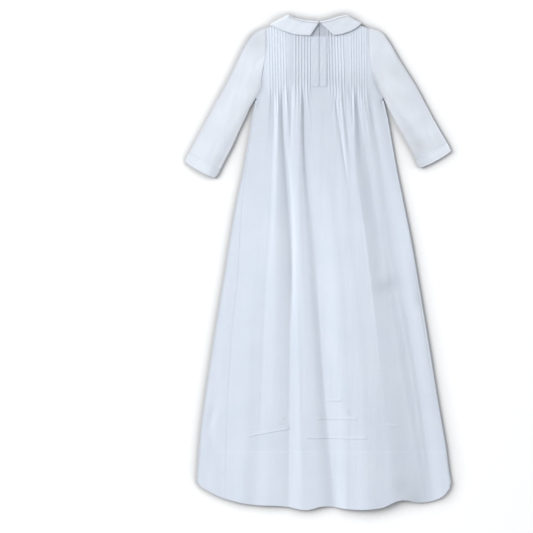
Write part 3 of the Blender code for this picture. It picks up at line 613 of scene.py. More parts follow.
def upper_panel(material):
    """Panel with the neck opening: tucked yoke, slit, free folds and deep hem."""
    side, down, slit, slit_row = panel_grid()
    rows, count = side.shape
    numbers = np.broadcast_to(np.arange(count), side.shape)
    height = base_height(side, down) + tuck_height(side, down) + release_height(numbers, down)
    height += fine_height(side, down)
    height += HEM_RISE * ease(down, HEM_LEVEL - 1 * MM, HEM_LEVEL + 1 * MM)
    lowest = WALL + 2 * GAP + collar_lift(side, down) + LAWN
    softness = 0.25 * MM
    height = lowest + np.logaddexp(0, (height - lowest) / softness) * softness
    row_picks = step_picks(rows, 4, slit_row)
    column_picks = step_picks(count, 2, slit, slit + 1)
    outer = place(side, down, height)
    inner = place(side, down, lowest_near(height) - LAWN)[np.ix_(row_picks, column_picks)]
    wanted = np.ones((rows - 1, count - 1), bool)
    wanted[:slit_row, slit] = False
    loop = (line_of((0,), range(slit + 1))
            + line_of(range(1, slit_row + 1), (slit,))
            + line_of(range(slit_row, -1, -1), (slit + 1,))
            + line_of((0,), range(slit + 2, count))
            + line_of(range(1, rows), (count - 1,))
            + line_of((rows - 1,), range(count - 2, -1, -1))
            + line_of(range(rows - 2, -1, -1), (0,)))
    mesh = shell_mesh("upper_panel", outer, inner, row_picks, column_picks, [loop], wanted)
    return make_piece("upper_panel", mesh, material, "back_panel")


# Lower panel
# Across it lie the strip that shows at the left, a rolled edge, the flat underside, the other
# rolled edge and a narrow strip at the right.
STRIP, ROLL, FLAT, TAIL = 20, 7, 110, 3
LOWER_BANDS = (STRIP, ROLL, FLAT, ROLL, TAIL)
LOWER_NUMBERS = np.arange(sum(LOWER_BANDS))
LOWER_LAST = LOWER_NUMBERS[-1]
FLAT_FIRST, FLAT_LAST = STRIP + ROLL, STRIP + ROLL + FLAT - 1
EDGE_TURNS = np.radians(np.linspace(75, -75, ROLL))
LOWER_ANGLES = np.concatenate((np.full(STRIP, math.pi / 2), EDGE_TURNS,
                               np.full(FLAT, -math.pi / 2), EDGE_TURNS[::-1],
                               np.full(TAIL, math.pi / 2)))
LOWER_WAYS = np.repeat((0, -1, 0, 1, 0), LOWER_BANDS)


def lower_yoke_row(level, share=None):
    """Both skins of a flat row between the armholes."""
    left = armhole_edge("left", level) + SEAM_HALF_GAP
    right = armhole_edge("right", level) - SEAM_HALF_GAP
    marks = (0, STRIP, FLAT_FIRST, FLAT_LAST, FLAT_LAST + ROLL, LOWER_LAST)
    shares = np.interp(LOWER_NUMBERS, marks, (0, 0.02, 0.04, 0.96, 0.98, 1))
    side = left + (right - left) * shares
    down = np.full_like(side, level) if share is None else neck_level(side, FRONT_TOP, share)
    lift = collar_lift(side, down)
    return place(side, down, lift), place(side, down, lift + LAWN)


def lower_skirt_row(level, share=None):
    """Both skins of a row below the armpits; the rolled edges open out just below them."""
    radius = edge_height(level) / 2 * (0.16 + 0.84 * ease(level, 142 * MM, 149 * MM))
    left, right = body_edge("left", level), body_edge("right", level)
    wrap_left = body_edge("wrap_left", level) - SEAM_HALF_GAP
    wrap_right = body_edge("wrap_right", level) - SEAM_HALF_GAP
    marks = (0, STRIP - 1, FLAT_FIRST, FLAT_LAST, FLAT_LAST + ROLL + 1, LOWER_LAST)
    middle = np.interp(LOWER_NUMBERS, marks,
                       (left + wrap_left, left + radius, left + radius,
                        right - radius, right - radius, right - wrap_right))
    relief = np.zeros_like(middle)
    from_seam = np.linspace(0, wrap_left, STRIP)
    strip = middle[:STRIP]
    inside = ease(from_seam, 2 * MM, 9 * MM) * ease(wrap_left - from_seam, 0, 8 * MM)
    waves = 0.12 * MM * ripple(strip, level, 7 * MM, 90 * MM, 5.0)
    relief[:STRIP] = (inside * (waves + dent_height(strip, level))
                      - 0.12 * MM * bell(from_seam, 1.1 * MM))
    under = slice(FLAT_FIRST, FLAT_LAST + 1)
    waves = np.maximum(ripple(middle[under], level, 9 * MM, 130 * MM, 7.0), 0)
    relief[under] = 0.45 * MM * waves * fade_ends(np.linspace(0, 1, FLAT), 0.08, 0.08)
    skins = []
    for reach in (radius, radius - min(LAWN, 0.7 * radius)):
        side = middle + LOWER_WAYS * reach * np.cos(LOWER_ANGLES) ** EDGE_SQUARENESS
        down = np.full_like(side, level) if share is None else hem_level(side, share)
        skins.append(place(side, down, radius + reach * np.sin(LOWER_ANGLES) + relief))
    return skins


def lower_panel(material):
    """Panel that the gown lies on.  Its side edges roll over; the left one shows as a strip."""
    rows = [lower_yoke_row(shoulder_level(share), share) for share in np.linspace(0, 1, 18)]
    rows += [lower_yoke_row(level * MM) for level in range(64, 144, 4)]
    rows += [lower_skirt_row(level * MM) for level in (142.6, 143.6, 144.8, 146.2, 148)]
    rows += [lower_skirt_row(*row) for row in skirt_rows() if row[0] > 150 * MM]
    outer, inner = np.array(rows).swapaxes(0, 1)
    picks = step_picks(len(outer), 2)
    loop = grid_loop(len(outer) - 1, len(LOWER_NUMBERS) - 1)
    mesh = shell_mesh("lower_panel", outer, inner[picks], picks, loops=[loop])
    return make_piece("lower_panel", mesh, material, "front_panel")


# Sleeves and cuffs
TUBE_COLUMNS = "outer_side outer_down under_side under_down edge swell"
SLEEVES = {
    "left": table(
        TUBE_COLUMNS,
        (-91.2, 21.5, -107, 142, 3.1, 0),
        (-111.8, 32.7, -111.8, 150, 3.2, 0.6),
        (-125.6, 51.6, -117, 158.5, 3.4, 0.9),
        (-139.4, 79.1, -122.2, 170.3, 3.6, 1.2),
        (-153.1, 108.4, -129, 185, 3.8, 1.4),
        (-168.6, 137.6, -137.6, 203, 3.8, 1.4),
        (-184.1, 166.9, -146.2, 223.7, 3.8, 1.4),
        (-199.6, 196.1, -156.6, 244.3, 3.8, 1.3),
        (-222, 237.8, -168.3, 267, 3.8, 1.2),
    ),
    "right": table(
        TUBE_COLUMNS,
        (87.6, 21, 111.8, 142, 3.1, 0),
        (108.4, 29.6, 116.1, 151, 3.2, 0.6),
        (123.9, 49, 121.3, 161.7, 3.4, 0.9),
        (137.6, 72.3, 129, 176.4, 3.6, 1.2),
        (153.1, 97.2, 137.6, 192.7, 3.8, 1.1),
        (168.6, 122.2, 147.1, 209, 3.8, 0.6),
        (184.1, 151.4, 156.6, 225.4, 3.8, 0.1),
        (201.3, 183.2, 165, 240, 3.8, -0.3),
        (222.8, 220.2, 168.8, 250.3, 3.8, -0.5),
    ),
}
CUFFS = {
    "left": table(
        TUBE_COLUMNS,
        (-221.6, 237.2, -168, 266.4, 4.1, 1.3),
        (-225.4, 244.7, -171.9, 273.8, 4.1, 1.3),
        (-228.9, 251.8, -177.6, 280.4, 4, 1.2),
    ),
    "right": table(
        TUBE_COLUMNS,
        (222.5, 219.6, 168.6, 249.7, 4, -0.5),
        (226, 226.6, 171.8, 256.8, 4.1, -0.5),
        (229.3, 233.6, 177, 262.6, 4, -0.4),
    ),
}
# Creases of the sleeves.  `along` runs from the armhole to the cuff, `across` from the outer
# edge to the underarm edge; reach is half the crease's width in millimetres.
SLEEVE_CREASES = {
    "left": (
        # along, across, end_along, end_across, rise, reach
        (0.00, 0.84, 0.26, 0.62, -0.3, 5.0),
        (0.00, 0.40, 0.16, 0.42, -0.5, 7.0),
        (0.30, 0.20, 0.74, 0.52, 0.2, 9.0),
        (0.42, 0.74, 0.84, 0.60, -0.25, 8.0),
        (0.60, 0.94, 1.30, 0.86, -0.35, 12.0),
        (0.84, 0.56, 1.00, 0.60, -0.25, 5.0),
    ),
    "right": (
        (0.00, 0.82, 0.24, 0.62, -0.4, 5.0),
        (0.02, 0.66, 0.40, 0.46, -0.5, 8.0),
        (0.00, 0.34, 0.16, 0.20, 0.4, 8.0),
        (0.22, 0.70, 1.20, 0.66, -0.7, 13.0),
        (0.34, 0.86, 0.66, 0.66, -0.4, 7.0),
        (0.84, 0.30, 1.00, 0.34, -0.25, 5.0),
    ),
}
SLEEVE_LENGTH = 250 * MM
SLEEVE_SEEDS = {"left": 7.0, "right": 8.0}
SWELL_LEAN = {"left": 2.0, "right": 0.42}
OUTWARD = {"left": -1, "right": 1}
CUFF_BOW = 2.4 * MM
CUFF_STITCHING = (0.20, 0.84)  # shares of the cuff's length


def sleeve_relief(along, across, width, length, creases):
    """Creases on a sleeve, from places given as shares of its length and width."""
    total = np.zeros_like(across)
    for start, start_across, end, end_across, rise, reach in creases:
        t = np.clip((along - start) / (end - start), 0, 1)
        off = (across - start_across - (end_across - start_across) * t) * width / (reach * MM)
        past = np.maximum(np.maximum(start - along, along - end), 0) * length / (reach * MM)
        fade = math.sin(math.pi * (0.12 + 0.83 * t)) ** 0.8
        power = 1.3 if rise < 0 and reach < 10 else 2.0
        total += rise * MM * fade * np.exp(-np.abs(off) ** power - past * past)
    return total


def tube_skins(sections, rows, bend, relief_at, shell, lean):
    """Outer and inner rings of a flattened tube.  `bend` is the shape of its first edge and
    `relief_at` gives its relief from the shares along and across.  The swell lies nearer the
    outer edge where `lean` is below 1."""
    top_count, turn_count, under_count = 72, 7, 40
    turns = np.radians(np.linspace(75, -75, turn_count))
    even = np.linspace(0, 1, top_count)
    top_shares = (1 - np.cos(math.pi * even)) / 2 * 0.35 + even * 0.65
    under_shares = np.linspace(1, 0, under_count)
    skins = ([], [])
    for along in np.linspace(0, 1, rows):
        k = along * (len(sections["edge"]) - 1)
        start, end = edge_at(sections, "outer", k), edge_at(sections, "under", k)
        width = np.linalg.norm(end - start)
        across = (end - start) / width
        radius = column_at(sections, "edge", k) / 2
        inset = radius if bend is None else radius * ease(along, 0, 0.125)
        start, end = start + across * inset, end - across * inset

        def flats(shares):
            spots = start + (end - start) * shares[:, None]
            if bend is not None:
                chord = bend(0.0) + (bend(1.0) - bend(0.0)) * shares[:, None]
                spots = spots + (bend(shares) - chord) * (1 - along) ** 2
            return spots

        top, under = flats(top_shares), flats(under_shares)
        swell = column_at(sections, "swell", k) * np.sin(math.pi * top_shares ** lean)
        relief = relief_at(along, top_shares, width)
        hidden = 0.35 * np.maximum(-relief_at(along, under_shares, width), 0)
        for skin, reach in zip(skins, (radius, radius - shell)):
            outward = across * reach * np.cos(turns)[:, None] ** EDGE_SQUARENESS
            side, down = np.concatenate((top, top[-1] + outward, under, top[0] - outward)).T
            rise = np.concatenate((radius + reach + swell + relief, radius + reach * np.sin(turns),
                                   radius - reach + hidden, radius - reach * np.sin(turns)))
            skin.append(place(side, down, rise + collar_lift(side, down)))
    return np.array(skins[0]), np.array(skins[1])


def sleeve(name, material):
    """Long sleeve whose first edge follows the armhole."""
    def bend(share):
        down = ARM_TOP + (ARMPIT - ARM_TOP) * np.asarray(share)
        side = smooth(down, ARMHOLE["down"], ARMHOLE[name]) + OUTWARD[name] * SEAM_HALF_GAP
        return np.stack((side, down), axis=-1)

    def relief(along, across, width):
        seam = -0.35 * MM * bell(along * SLEEVE_LENGTH, 1.6 * MM)
        creases = sleeve_relief(along, across, width, SLEEVE_LENGTH, SLEEVE_CREASES[name])
        uneven = 0.06 * MM * ripple(across * width, along * SLEEVE_LENGTH, 9 * MM, 34 * MM,
                                    SLEEVE_SEEDS[name])
        body = (creases + uneven) * fade_ends(along, 0.03, 0.02)
        return fade_ends(across, 0.10, 0.07) * (body + seam)

    shaped = {column: values.copy() for column, values in SLEEVES[name].items()}
    shaped["outer_side"][0], shaped["outer_down"][0] = bend(0.0)
    shaped["under_side"][0], shaped["under_down"][0] = bend(1.0)
    skins = tube_skins(shaped, 120, bend, relief, LAWN, SWELL_LEAN[name])
    return tube_piece(f"sleeve_{name}", *skins, material, "lawn")


def bow_end(outer, inner):
    """Bows a cuff's open end outward, most in its middle."""
    low, high = outer[-1].min(axis=0)[:2], outer[-1].max(axis=0)[:2]
    middle = (low + high) / 2
    way = middle - (outer[0].min(axis=0) + outer[0].max(axis=0))[:2] / 2
    way /= np.linalg.norm(way)
    half = np.linalg.norm(high - low) / 2
    along = np.linspace(0, 1, len(outer))[:, None]
    for skin in (outer, inner):
        off = skin[..., :2] - middle
        across = (off[..., 0] * way[1] - off[..., 1] * way[0]) / half
        reach = CUFF_BOW * along * (0.7 - np.abs(across).clip(0, 1) ** 2.5)
        skin[..., :2] += reach[..., None] * way


def cuff(name, material):
    """Narrow band on the end of a sleeve, with a soft rim and two lines of stitching."""
    def relief(along, across, width):
        rim = 0.18 * MM * bell(along - 0.95, 0.05)
        seam = 0.1 * MM * bell(along - 0.07, 0.06)
        stitched = -0.15 * MM * sum(bell(along - line, 0.045) for line in CUFF_STITCHING)
        uneven = 0.05 * MM * ripple(across * width, along * 14 * MM, 5 * MM, 9 * MM, 6.0)
        return fade_ends(across, 0.12, 0.12) * (rim + seam + stitched + uneven)

    skins = tube_skins(CUFFS[name], 26, None, relief, DOUBLE_LAWN, SWELL_LEAN[name])
    bow_end(*skins)
    return tube_piece(f"cuff_{name}", *skins, material, "lawn_double")


# Collar
# Each half has the table of the leaf that shows and that of the leaf under the gown.
LEAF_COLUMNS = "outer_side outer_down neck_side neck_down"
COLLARS = {
    "left": (
        table(
            LEAF_COLUMNS,
            (-13.1, 35.6, 0.9, 13.8),
            (-27, 35.2, -12, 13.2),
            (-42, 33.2, -25, 11.6),
            (-58.5, 28.2, -38, 8.6),
            (-70, 23.6, -44, 6.2),
            (-79.9, 19, -49.8, 3.8),
        ),
        table(
            LEAF_COLUMNS,
            (-80, 36, -49, 15),
            (-70, 56, -42.5, 27),
            (-54, 71, -31, 36),
            (-33, 79, -16, 42.5),
            (-10, 76, -1, 44.5),
        ),
    ),
    "right": (
        table(
            LEAF_COLUMNS,
            (28, 35.2, 3.8, 13.8),
            (39, 33.6, 14, 12.4),
            (50, 30.2, 24, 9.8),
            (60, 26, 35, 5.6),
            (67, 21.8, 42, 4.2),
            (72.6, 17.2, 47.6, 3.6),
        ),
        table(
            LEAF_COLUMNS,
            (76, 36, 47, 15),
            (68, 56, 41.5, 27),
            (53, 71, 31, 36),
            (33, 79, 16, 42.5),
            (10, 76, 1, 44.5),
        ),
    ),
}
COLLAR_ROLLED_OUT = {"left": (-0.457, -0.889), "right": (0.478, -0.878)}
COLLAR_EDGE = np.array((0, 0.3, 0.7, 1.2, 1.7, 2.2, 2.6, 3.0, 3.5, 4.2)) * MM
COLLAR_STITCHING = 2.6 * MM    # how far it lies from the edge
HIDDEN_LENGTH = 105 * MM


def collar(name, material):
    """Half of the collar: a leaf on the yoke, rolled round the shoulder and under the gown."""
    shown, hidden = COLLARS[name]
    shown_last, hidden_last = len(shown["outer_side"]) - 1, len(hidden["outer_side"]) - 1
    rows = [(shown, k, 0.0) for k in np.linspace(0, shown_last, 56)]
    rows += [(shown, shown_last, turn) for turn in np.linspace(0, 180, 22)[1:]]
    rows += [(hidden, k, 180.0) for k in np.linspace(0, hidden_last, 48)]
    bends = np.radians(np.linspace(8, 86, 10))
    centre = COLLAR_STACK / 2
    skins = ([], [])
    from_front = 0.0
    before = edge_at(shown, "outer", 0)
    for leaf, k, turn in rows:
        outer_edge, neck_edge = edge_at(leaf, "outer", k), edge_at(leaf, "neck", k)
        width = np.linalg.norm(neck_edge - outer_edge)
        from_front += np.linalg.norm(outer_edge - before)
        before = outer_edge
        from_end = from_front if leaf is shown else HIDDEN_LENGTH * (1 - k / hidden_last)
        from_edge = np.concatenate((COLLAR_EDGE, np.linspace(COLLAR_EDGE[-1], width, 22)[1:]))
        spots = outer_edge + (neck_edge - outer_edge) * (from_edge / width)[:, None]
        spots = np.concatenate((spots, np.repeat(neck_edge[None], len(bends), axis=0)))
        angles = np.concatenate((np.zeros(len(from_edge)), bends))
        from_edge = np.concatenate((from_edge, np.full(len(bends), width)))
        nearest = np.minimum(from_edge, from_end)
        curl = 1 - ease(turn, 0, 90)
        rim = 0.22 * MM * bell(nearest - 1.1 * MM, 0.8 * MM)
        stitched = -0.20 * MM * bell(nearest - COLLAR_STITCHING, 0.45 * MM)
        drop = -0.35 * MM * bell(nearest, 0.5 * MM)
        soft = 0.16 * MM * ripple(*spots.T, 7 * MM, 6 * MM, 2.0) * ease(nearest, 0, 5 * MM)
        lean = -0.5 * MM * (1 - from_edge / width) * curl if leaf is shown else 0.0
        relief = rim + stitched + drop + soft + lean
        roll = math.radians(turn)
        for skin, shell in zip(skins, (0.0, DOUBLE_LAWN)):
            reach = NECK_ROLL - shell + relief
            along = curl * reach * np.sin(angles) + (1 - curl) * NECK_ROLL * angles * 0.6
            radial = centre - shell + relief - curl * reach * (1 - np.cos(angles))
            swing = radial * max(math.sin(roll), 0) ** EDGE_SQUARENESS * (turn > 0)
            side, down = (spots + np.outer(swing, COLLAR_ROLLED_OUT[name])).T
            skin.append(place(side, down - along * (1 - 0.75 * math.sin(roll)),
                              centre + radial * math.cos(roll)))
    return leaf_piece(f"collar_{name}", *skins, material, "lawn_double")


# What lies on the cloth
class Surface:
    """Top of some pieces, for placing stitches and trims."""

    def __init__(self, pieces):
        points, faces = [], []
        for piece in pieces:
            start = len(points)
            points.extend(vertex.co.copy() for vertex in piece.data.vertices)
            faces.extend([start + i for i in polygon.vertices] for polygon in piece.data.polygons)
        self.tree = BVHTree.FromPolygons(points, faces)

    def at(self, side, down, from_above=True):
        """Point and normal of the surface, seen from above or from below."""
        way = -1 if from_above else 1
        start = Vector((side, GOWN_LENGTH / 2 - down, -way * 0.05))
        spot, normal, _, _ = self.tree.ray_cast(start, Vector((0, 0, way)))
        if spot is None:
            return None, None
        if normal.z * way > 0:
            normal = -normal
        return spot, normal


PLACKET_TOP = 38 * MM
PLACKET_SIDES = {"left": (-11.2 * MM, 1.75 * MM), "right": (2.25 * MM, 15.2 * MM)}
PLACKET_RISE = 0.45 * MM
PLACKET_STITCHING = 1.5 * MM   # how far it lies from the edge
PLACKET_EDGE = np.array((0, 0.3, 0.7, 1.2, 1.8, 2.4)) * MM


def placket_steps(length, count):
    """Distances along a strip's side, close together at both ends."""
    inner = np.linspace(3.2 * MM, length - 3.2 * MM, count)
    return np.concatenate((PLACKET_EDGE, inner, length - PLACKET_EDGE[::-1]))


def placket(name, surface, material):
    """Stitched strip beside the slit."""
    left, right = PLACKET_SIDES[name]
    across = placket_steps(right - left, 8)
    outer, inner = [], []
    for down in PLACKET_TOP + placket_steps(SLIT_END - PLACKET_TOP, 60):
        spots = [surface.at(left + (right - left) * share, down)[0] for share in (0.1, 0.5, 0.9)]
        base = max(spot.z for spot in spots) + 0.12 * MM
        from_end = min(down - PLACKET_TOP, SLIT_END - down)
        near = np.minimum(np.minimum(across, right - left - across), from_end)
        round_edge = PLACKET_RISE * (1 - 0.45 * np.exp(-near / (0.25 * MM)))
        stitched = -0.15 * MM * bell(near - PLACKET_STITCHING, 0.4 * MM)
        soft = 0.07 * MM * ripple(left + across, down, 2.4 * MM, 8 * MM, 1.0)
        outer.append(place(left + across, down, base + round_edge + stitched + soft))
        inner.append(place(left + across, down, base))
    return leaf_piece(f"placket_{name}", outer, inner, material, "lawn_double")


HEM_TUCKS = (
    # name, start side, start down, end side, end down
    ("top", 13, 662, 40, 662),
    ("middle", -2, 693, 67, 694),
    ("low", -22, 726, 83, 727),
    ("left", -120, 723, -49, 710),
    ("right", 117, 703, 138, 707),
)
# One hem tuck from its stitching down to its fold.
HEM_TUCK_ACROSS = np.array((-5.0, -4.0, -3.0, -2.0, -1.0, 0.0, 0.5, 0.8, 1.0, 1.1)) * MM
HEM_TUCK_RISES = np.array((0.0, 0.04, 0.12, 0.22, 0.33, 0.42, 0.44, 0.36, 0.18, 0.0)) * MM


def hem_tuck(name, start_side, start_down, end_side, end_down, surface, material):
    """Stitched tuck across the skirt: it rises from its stitching to a fold that looks down."""
    start, end = np.array(((start_side, start_down), (end_side, end_down))) * MM
    length = np.linalg.norm(end - start)
    across = np.array((-(end - start)[1], (end - start)[0])) / length
    outer, inner = [], []
    for share in np.linspace(0, 1, int(length / (1.2 * MM)) + 2):
        wave = 0.25 * MM * math.sin(share * length / (9 * MM))
        spots = start + (end - start) * share + across * (wave + HEM_TUCK_ACROSS)[:, None]
        tops = np.array([surface.at(*spot)[0].z for spot in spots])
        tapered = 0.15 + 0.85 * fade_ends(share, 3 * MM / length, 3 * MM / length)
        outer.append(place(*spots.T, tops + 0.08 * MM + HEM_TUCK_RISES * tapered))
        inner.append(place(*spots.T, tops + 0.03 * MM))
    return leaf_piece(f"hem_tuck_{name}", outer, inner, material, "thread")


# Sewing
STITCH_PITCH = 2.2 * MM
STITCH_LENGTH = 1.5 * MM
STITCH_RADIUS = 0.13 * MM
SATIN_RADIUS = 0.11 * MM
HEM_STITCHING = 1.6 * MM       # below the hem's top edge
HEM_SEWN = (-203 * MM, 219 * MM)        # its left and right end
HEM_TUCK_STITCHING = -1.9 * MM
THREAD_FORM = ((0.0, 0.25), (0.14, 0.85), (0.5, 1.0), (0.86, 0.85), (1.0, 0.25))  # along, girth


def stitch_ends(path):
    """Start and end of every stitch along a path of (side, down) points."""
    path = np.asarray(path, float)
    lengths = np.concatenate(([0], np.cumsum(np.linalg.norm(np.diff(path, axis=0), axis=1))))
    starts = np.arange(0.2 * MM, lengths[-1] - STITCH_LENGTH, STITCH_PITCH)
    for marks in zip(starts, starts + STITCH_LENGTH):
        yield [[np.interp(mark, lengths, path[:, k]) for k in (0, 1)] for mark in marks]


def thread_piece(name, dashes, radius, material):
    """Joined piece of short threads from (start, end, normal, swell) rows."""
    sides = 5
    turns = np.linspace(0, 2 * math.pi, sides, endpoint=False)[:, None]
    points, faces = [], []
    for start, end, normal, swell in dashes:
        start, end = np.array(start), np.array(end)
        size = np.linalg.norm(end - start)
        if size < 1e-6:
            continue
        along = (end - start) / size
        up = np.array(normal) - along * np.dot(normal, along)
        up = up / np.linalg.norm(up)
        ring = np.cos(turns) * np.cross(along, up) + 0.8 * np.sin(turns) * up
        first = len(points)
        for share, girth in THREAD_FORM:
            middle = start + along * size * share + up * radius * swell * (0.15 + 0.65 * girth)
            points.extend((middle + radius * girth * swell * ring).tolist())
        for k in range(first, len(points) - sides):
            beside = k + 1 if (k - first + 1) % sides else k + 1 - sides
            faces.append((k, beside, beside + sides, k + sides))
        faces.append(tuple(range(first, first + sides)))
        faces.append(tuple(range(len(points) - sides, len(points))))
    return make_piece(name, make_mesh(name, points, faces, 80), material)


def collar_paths(leaf, above):
    """Sewing along a collar leaf's outer edge and across its end."""
    k = np.linspace(0, len(leaf["outer_side"]) - 1, 60)
    outer, neck = edge_at(leaf, "outer", k), edge_at(leaf, "neck", k)
    widths = np.linalg.norm(neck - outer, axis=1)
    across = (neck - outer) / widths[:, None]
    line = outer + across * COLLAR_STITCHING
    end, beside = (0, 1) if above else (-1, -2)
    inward = (outer[beside] - outer[end]) / np.linalg.norm(outer[beside] - outer[end])
    corner = outer[end] + inward * COLLAR_STITCHING
    close = [corner + across[end] * t for t in (COLLAR_STITCHING, widths[end] - 1 * MM)]
    return [(line[2:] if above else line[:-2], above), (close, above)]


def cuff_paths(sections):
    """Sewing along both edges of a cuff, above and below."""
    paths = []
    for along in CUFF_STITCHING:
        start, end = edge_at(sections, "outer", along * 2), edge_at(sections, "under", along * 2)
        inset = (end - start) / np.linalg.norm(end - start) * 2.4 * MM
        paths += [([start + inset, end - inset], above) for above in (True, False)]
    return paths


def sewn_paths():
    """Every line of sewing but the pintucks' as (path of (side, down) points, seen from above)."""
    paths = []
    top, end = PLACKET_TOP + PLACKET_STITCHING, SLIT_END - PLACKET_STITCHING
    for left, right in PLACKET_SIDES.values():
        left, right = left + PLACKET_STITCHING, right - PLACKET_STITCHING
        paths += [([(x, top), (x, end)], True) for x in (left, right)]
        paths += [([(left, y), (right, y)], True) for y in (end, end - 4 * MM)]
    for above in (True, False):
        for name in COLLARS:
            paths += collar_paths(COLLARS[name][0 if above else 1], above)
    hem = [(x, HEM_LEVEL + HEM_STITCHING) for x in np.linspace(*HEM_SEWN, 160)]
    paths += [(hem, True), (hem[2:-2], False)]
    for _, *ends in HEM_TUCKS:
        ends = np.reshape(ends, (2, 2)) * MM + (0, HEM_TUCK_STITCHING)
        paths.append((ends, True))
    return paths + cuff_paths(CUFFS["left"]) + cuff_paths(CUFFS["right"])


def tuck_paths():
    """Sewing beside every pintuck."""
    for first, last, count, lean, stitched_to, _ in TUCKS:
        for k in range(count):
            x = (first + (k + 0.06) * (last - first) / count) * MM
            yield [(x + lean * (y - YOKE_MIDDLE), y)
                   for y in np.linspace(26 * MM, (stitched_to - 1) * MM, 12)]


def sewing(surface, panel, material):
    """All visible stitches, joined.  A pintuck's are left out where the collar covers them."""
    lines = [(path, above, False) for path, above in sewn_paths()]
    lines += [(path, True, True) for path in tuck_paths()]
    dashes = []
    for path, above, on_panel in lines:
        for start, end in stitch_ends(path):
            (first, normal), (last, _) = surface.at(*start, above), surface.at(*end, above)
            if first is None or last is None or abs(first.z - last.z) > 0.6 * MM:
                continue
            if on_panel and first.z > panel.at(*start)[0].z + 0.2 * MM:
                continue
            dashes.append((first, last, normal, 1.0))
    return thread_piece("sewing", dashes, STITCH_RADIUS, material)


# Small satin-stitch sprigs above the hem: side, down, size, turn in degrees.
SPRIGS = (
    (52, 680, 1.35, -18),
    (-59, 693, 1.25, 24),
)


def embroidery(surface, material):
    """Sprigs of a five-petalled flower, two leaves and a stem, in raised satin stitch."""
    dashes = []

    def thread(middle, half, swell):
        (first, normal), (last, _) = surface.at(*(middle - half)), surface.at(*(middle + half))
        dashes.append((first, last, normal, swell))

    for side, down, size, turn in SPRIGS:
        angle = math.radians(turn)
        across = np.array((math.cos(angle), math.sin(angle)))
        along = np.array((-math.sin(angle), math.cos(angle)))
        centre = np.array((side, down)) * MM
        unit = size * MM
        for petal in range(5):
            lean = math.radians(72 * petal + 12)
            way = across * math.cos(lean) + along * math.sin(lean)
            beside = across * -math.sin(lean) + along * math.cos(lean)
            for share in (np.arange(7) - 3) / 3:
                half = way * (0.35 + 0.95 * (1 - share * share) ** 0.5) * unit
                thread(centre + (way * 2.1 + beside * share * 0.75) * unit, half, 1.0)
        for k in (-1, 0, 1):
            thread(centre + across * k * 0.35 * MM, along * 0.4 * MM, 1.7)
        stem = [centre + along * (3.4 + 1.3 * k) * unit + across * 0.45 * math.sin(0.5 * k) * MM
                for k in range(6)]
        for start, end in zip(stem[:-1], stem[1:]):
            thread((start + end) / 2, (end - start) / 2, 1.1)
        for way, root in ((1, stem[1]), (-1, stem[3])):
            beside = along * 0.9 - across * 0.35 * way
            for share in np.arange(8) / 7:
                spine = root + (across * way * 3.4 + along * 1.9) * share * unit
                half = 0.75 * math.sin(math.pi * (0.1 + 0.8 * share)) * unit
                thread(spine, beside * half, 1.0)
    return thread_piece("embroidery", dashes, SATIN_RADIUS, material)


# Materials
THREAD_PITCH = 0.36 * MM
# Colour of each kind of cloth
LAWN_COLOUR = (0.628, 0.681, 0.757)
SLEEVE_COLOUR = (0.648, 0.681, 0.731)
PLACKET_COLOUR = (0.595, 0.645, 0.718)
DOUBLE_COLOUR = (0.677, 0.722, 0.780)


def fill(tree, node, sockets):
    """Sets each socket of a node to its value, or links it where that is another's output."""
    for name, value in sockets.items():
        if isinstance(value, bpy.types.NodeSocket):
            tree.links.new(value, node.inputs[name])
        else:
            node.inputs[name].default_value = value


def add_node(tree, kind, sockets, out=0, **settings):
    """Adds a shader node and returns one of its outputs."""
    node = tree.nodes.new(f"ShaderNode{kind}")
    for name, value in settings.items():
        setattr(node, name, value)
    fill(tree, node, sockets)
    return node.outputs[out]


def add_math(tree, operation, first, second):
    return add_node(tree, "Math", {0: first, 1: second}, operation=operation)


def add_ramp(tree, value, stops):
    """Colour of a value between 0 and 1, from (position, colour) stops."""
    ramp = add_node(tree, "ValToRGB", {"Fac": value})
    bands = ramp.node.color_ramp.elements
    while len(bands) < len(stops):
        bands.new(0.5)
    for band, (position, colour) in zip(bands, stops):
        band.position = position
        band.color = (*colour, 1)
    return ramp


def add_bump(tree, height, strength, distance):
    sockets = {"Height": height, "Strength": strength, "Distance": distance}
    return add_node(tree, "Bump", sockets)


def new_material(name):
    """Material with its node tree and its shader."""
    material = bpy.data.materials.new(name)
    material.use_nodes = True
    return material, material.node_tree, material.node_tree.nodes["Principled BSDF"]


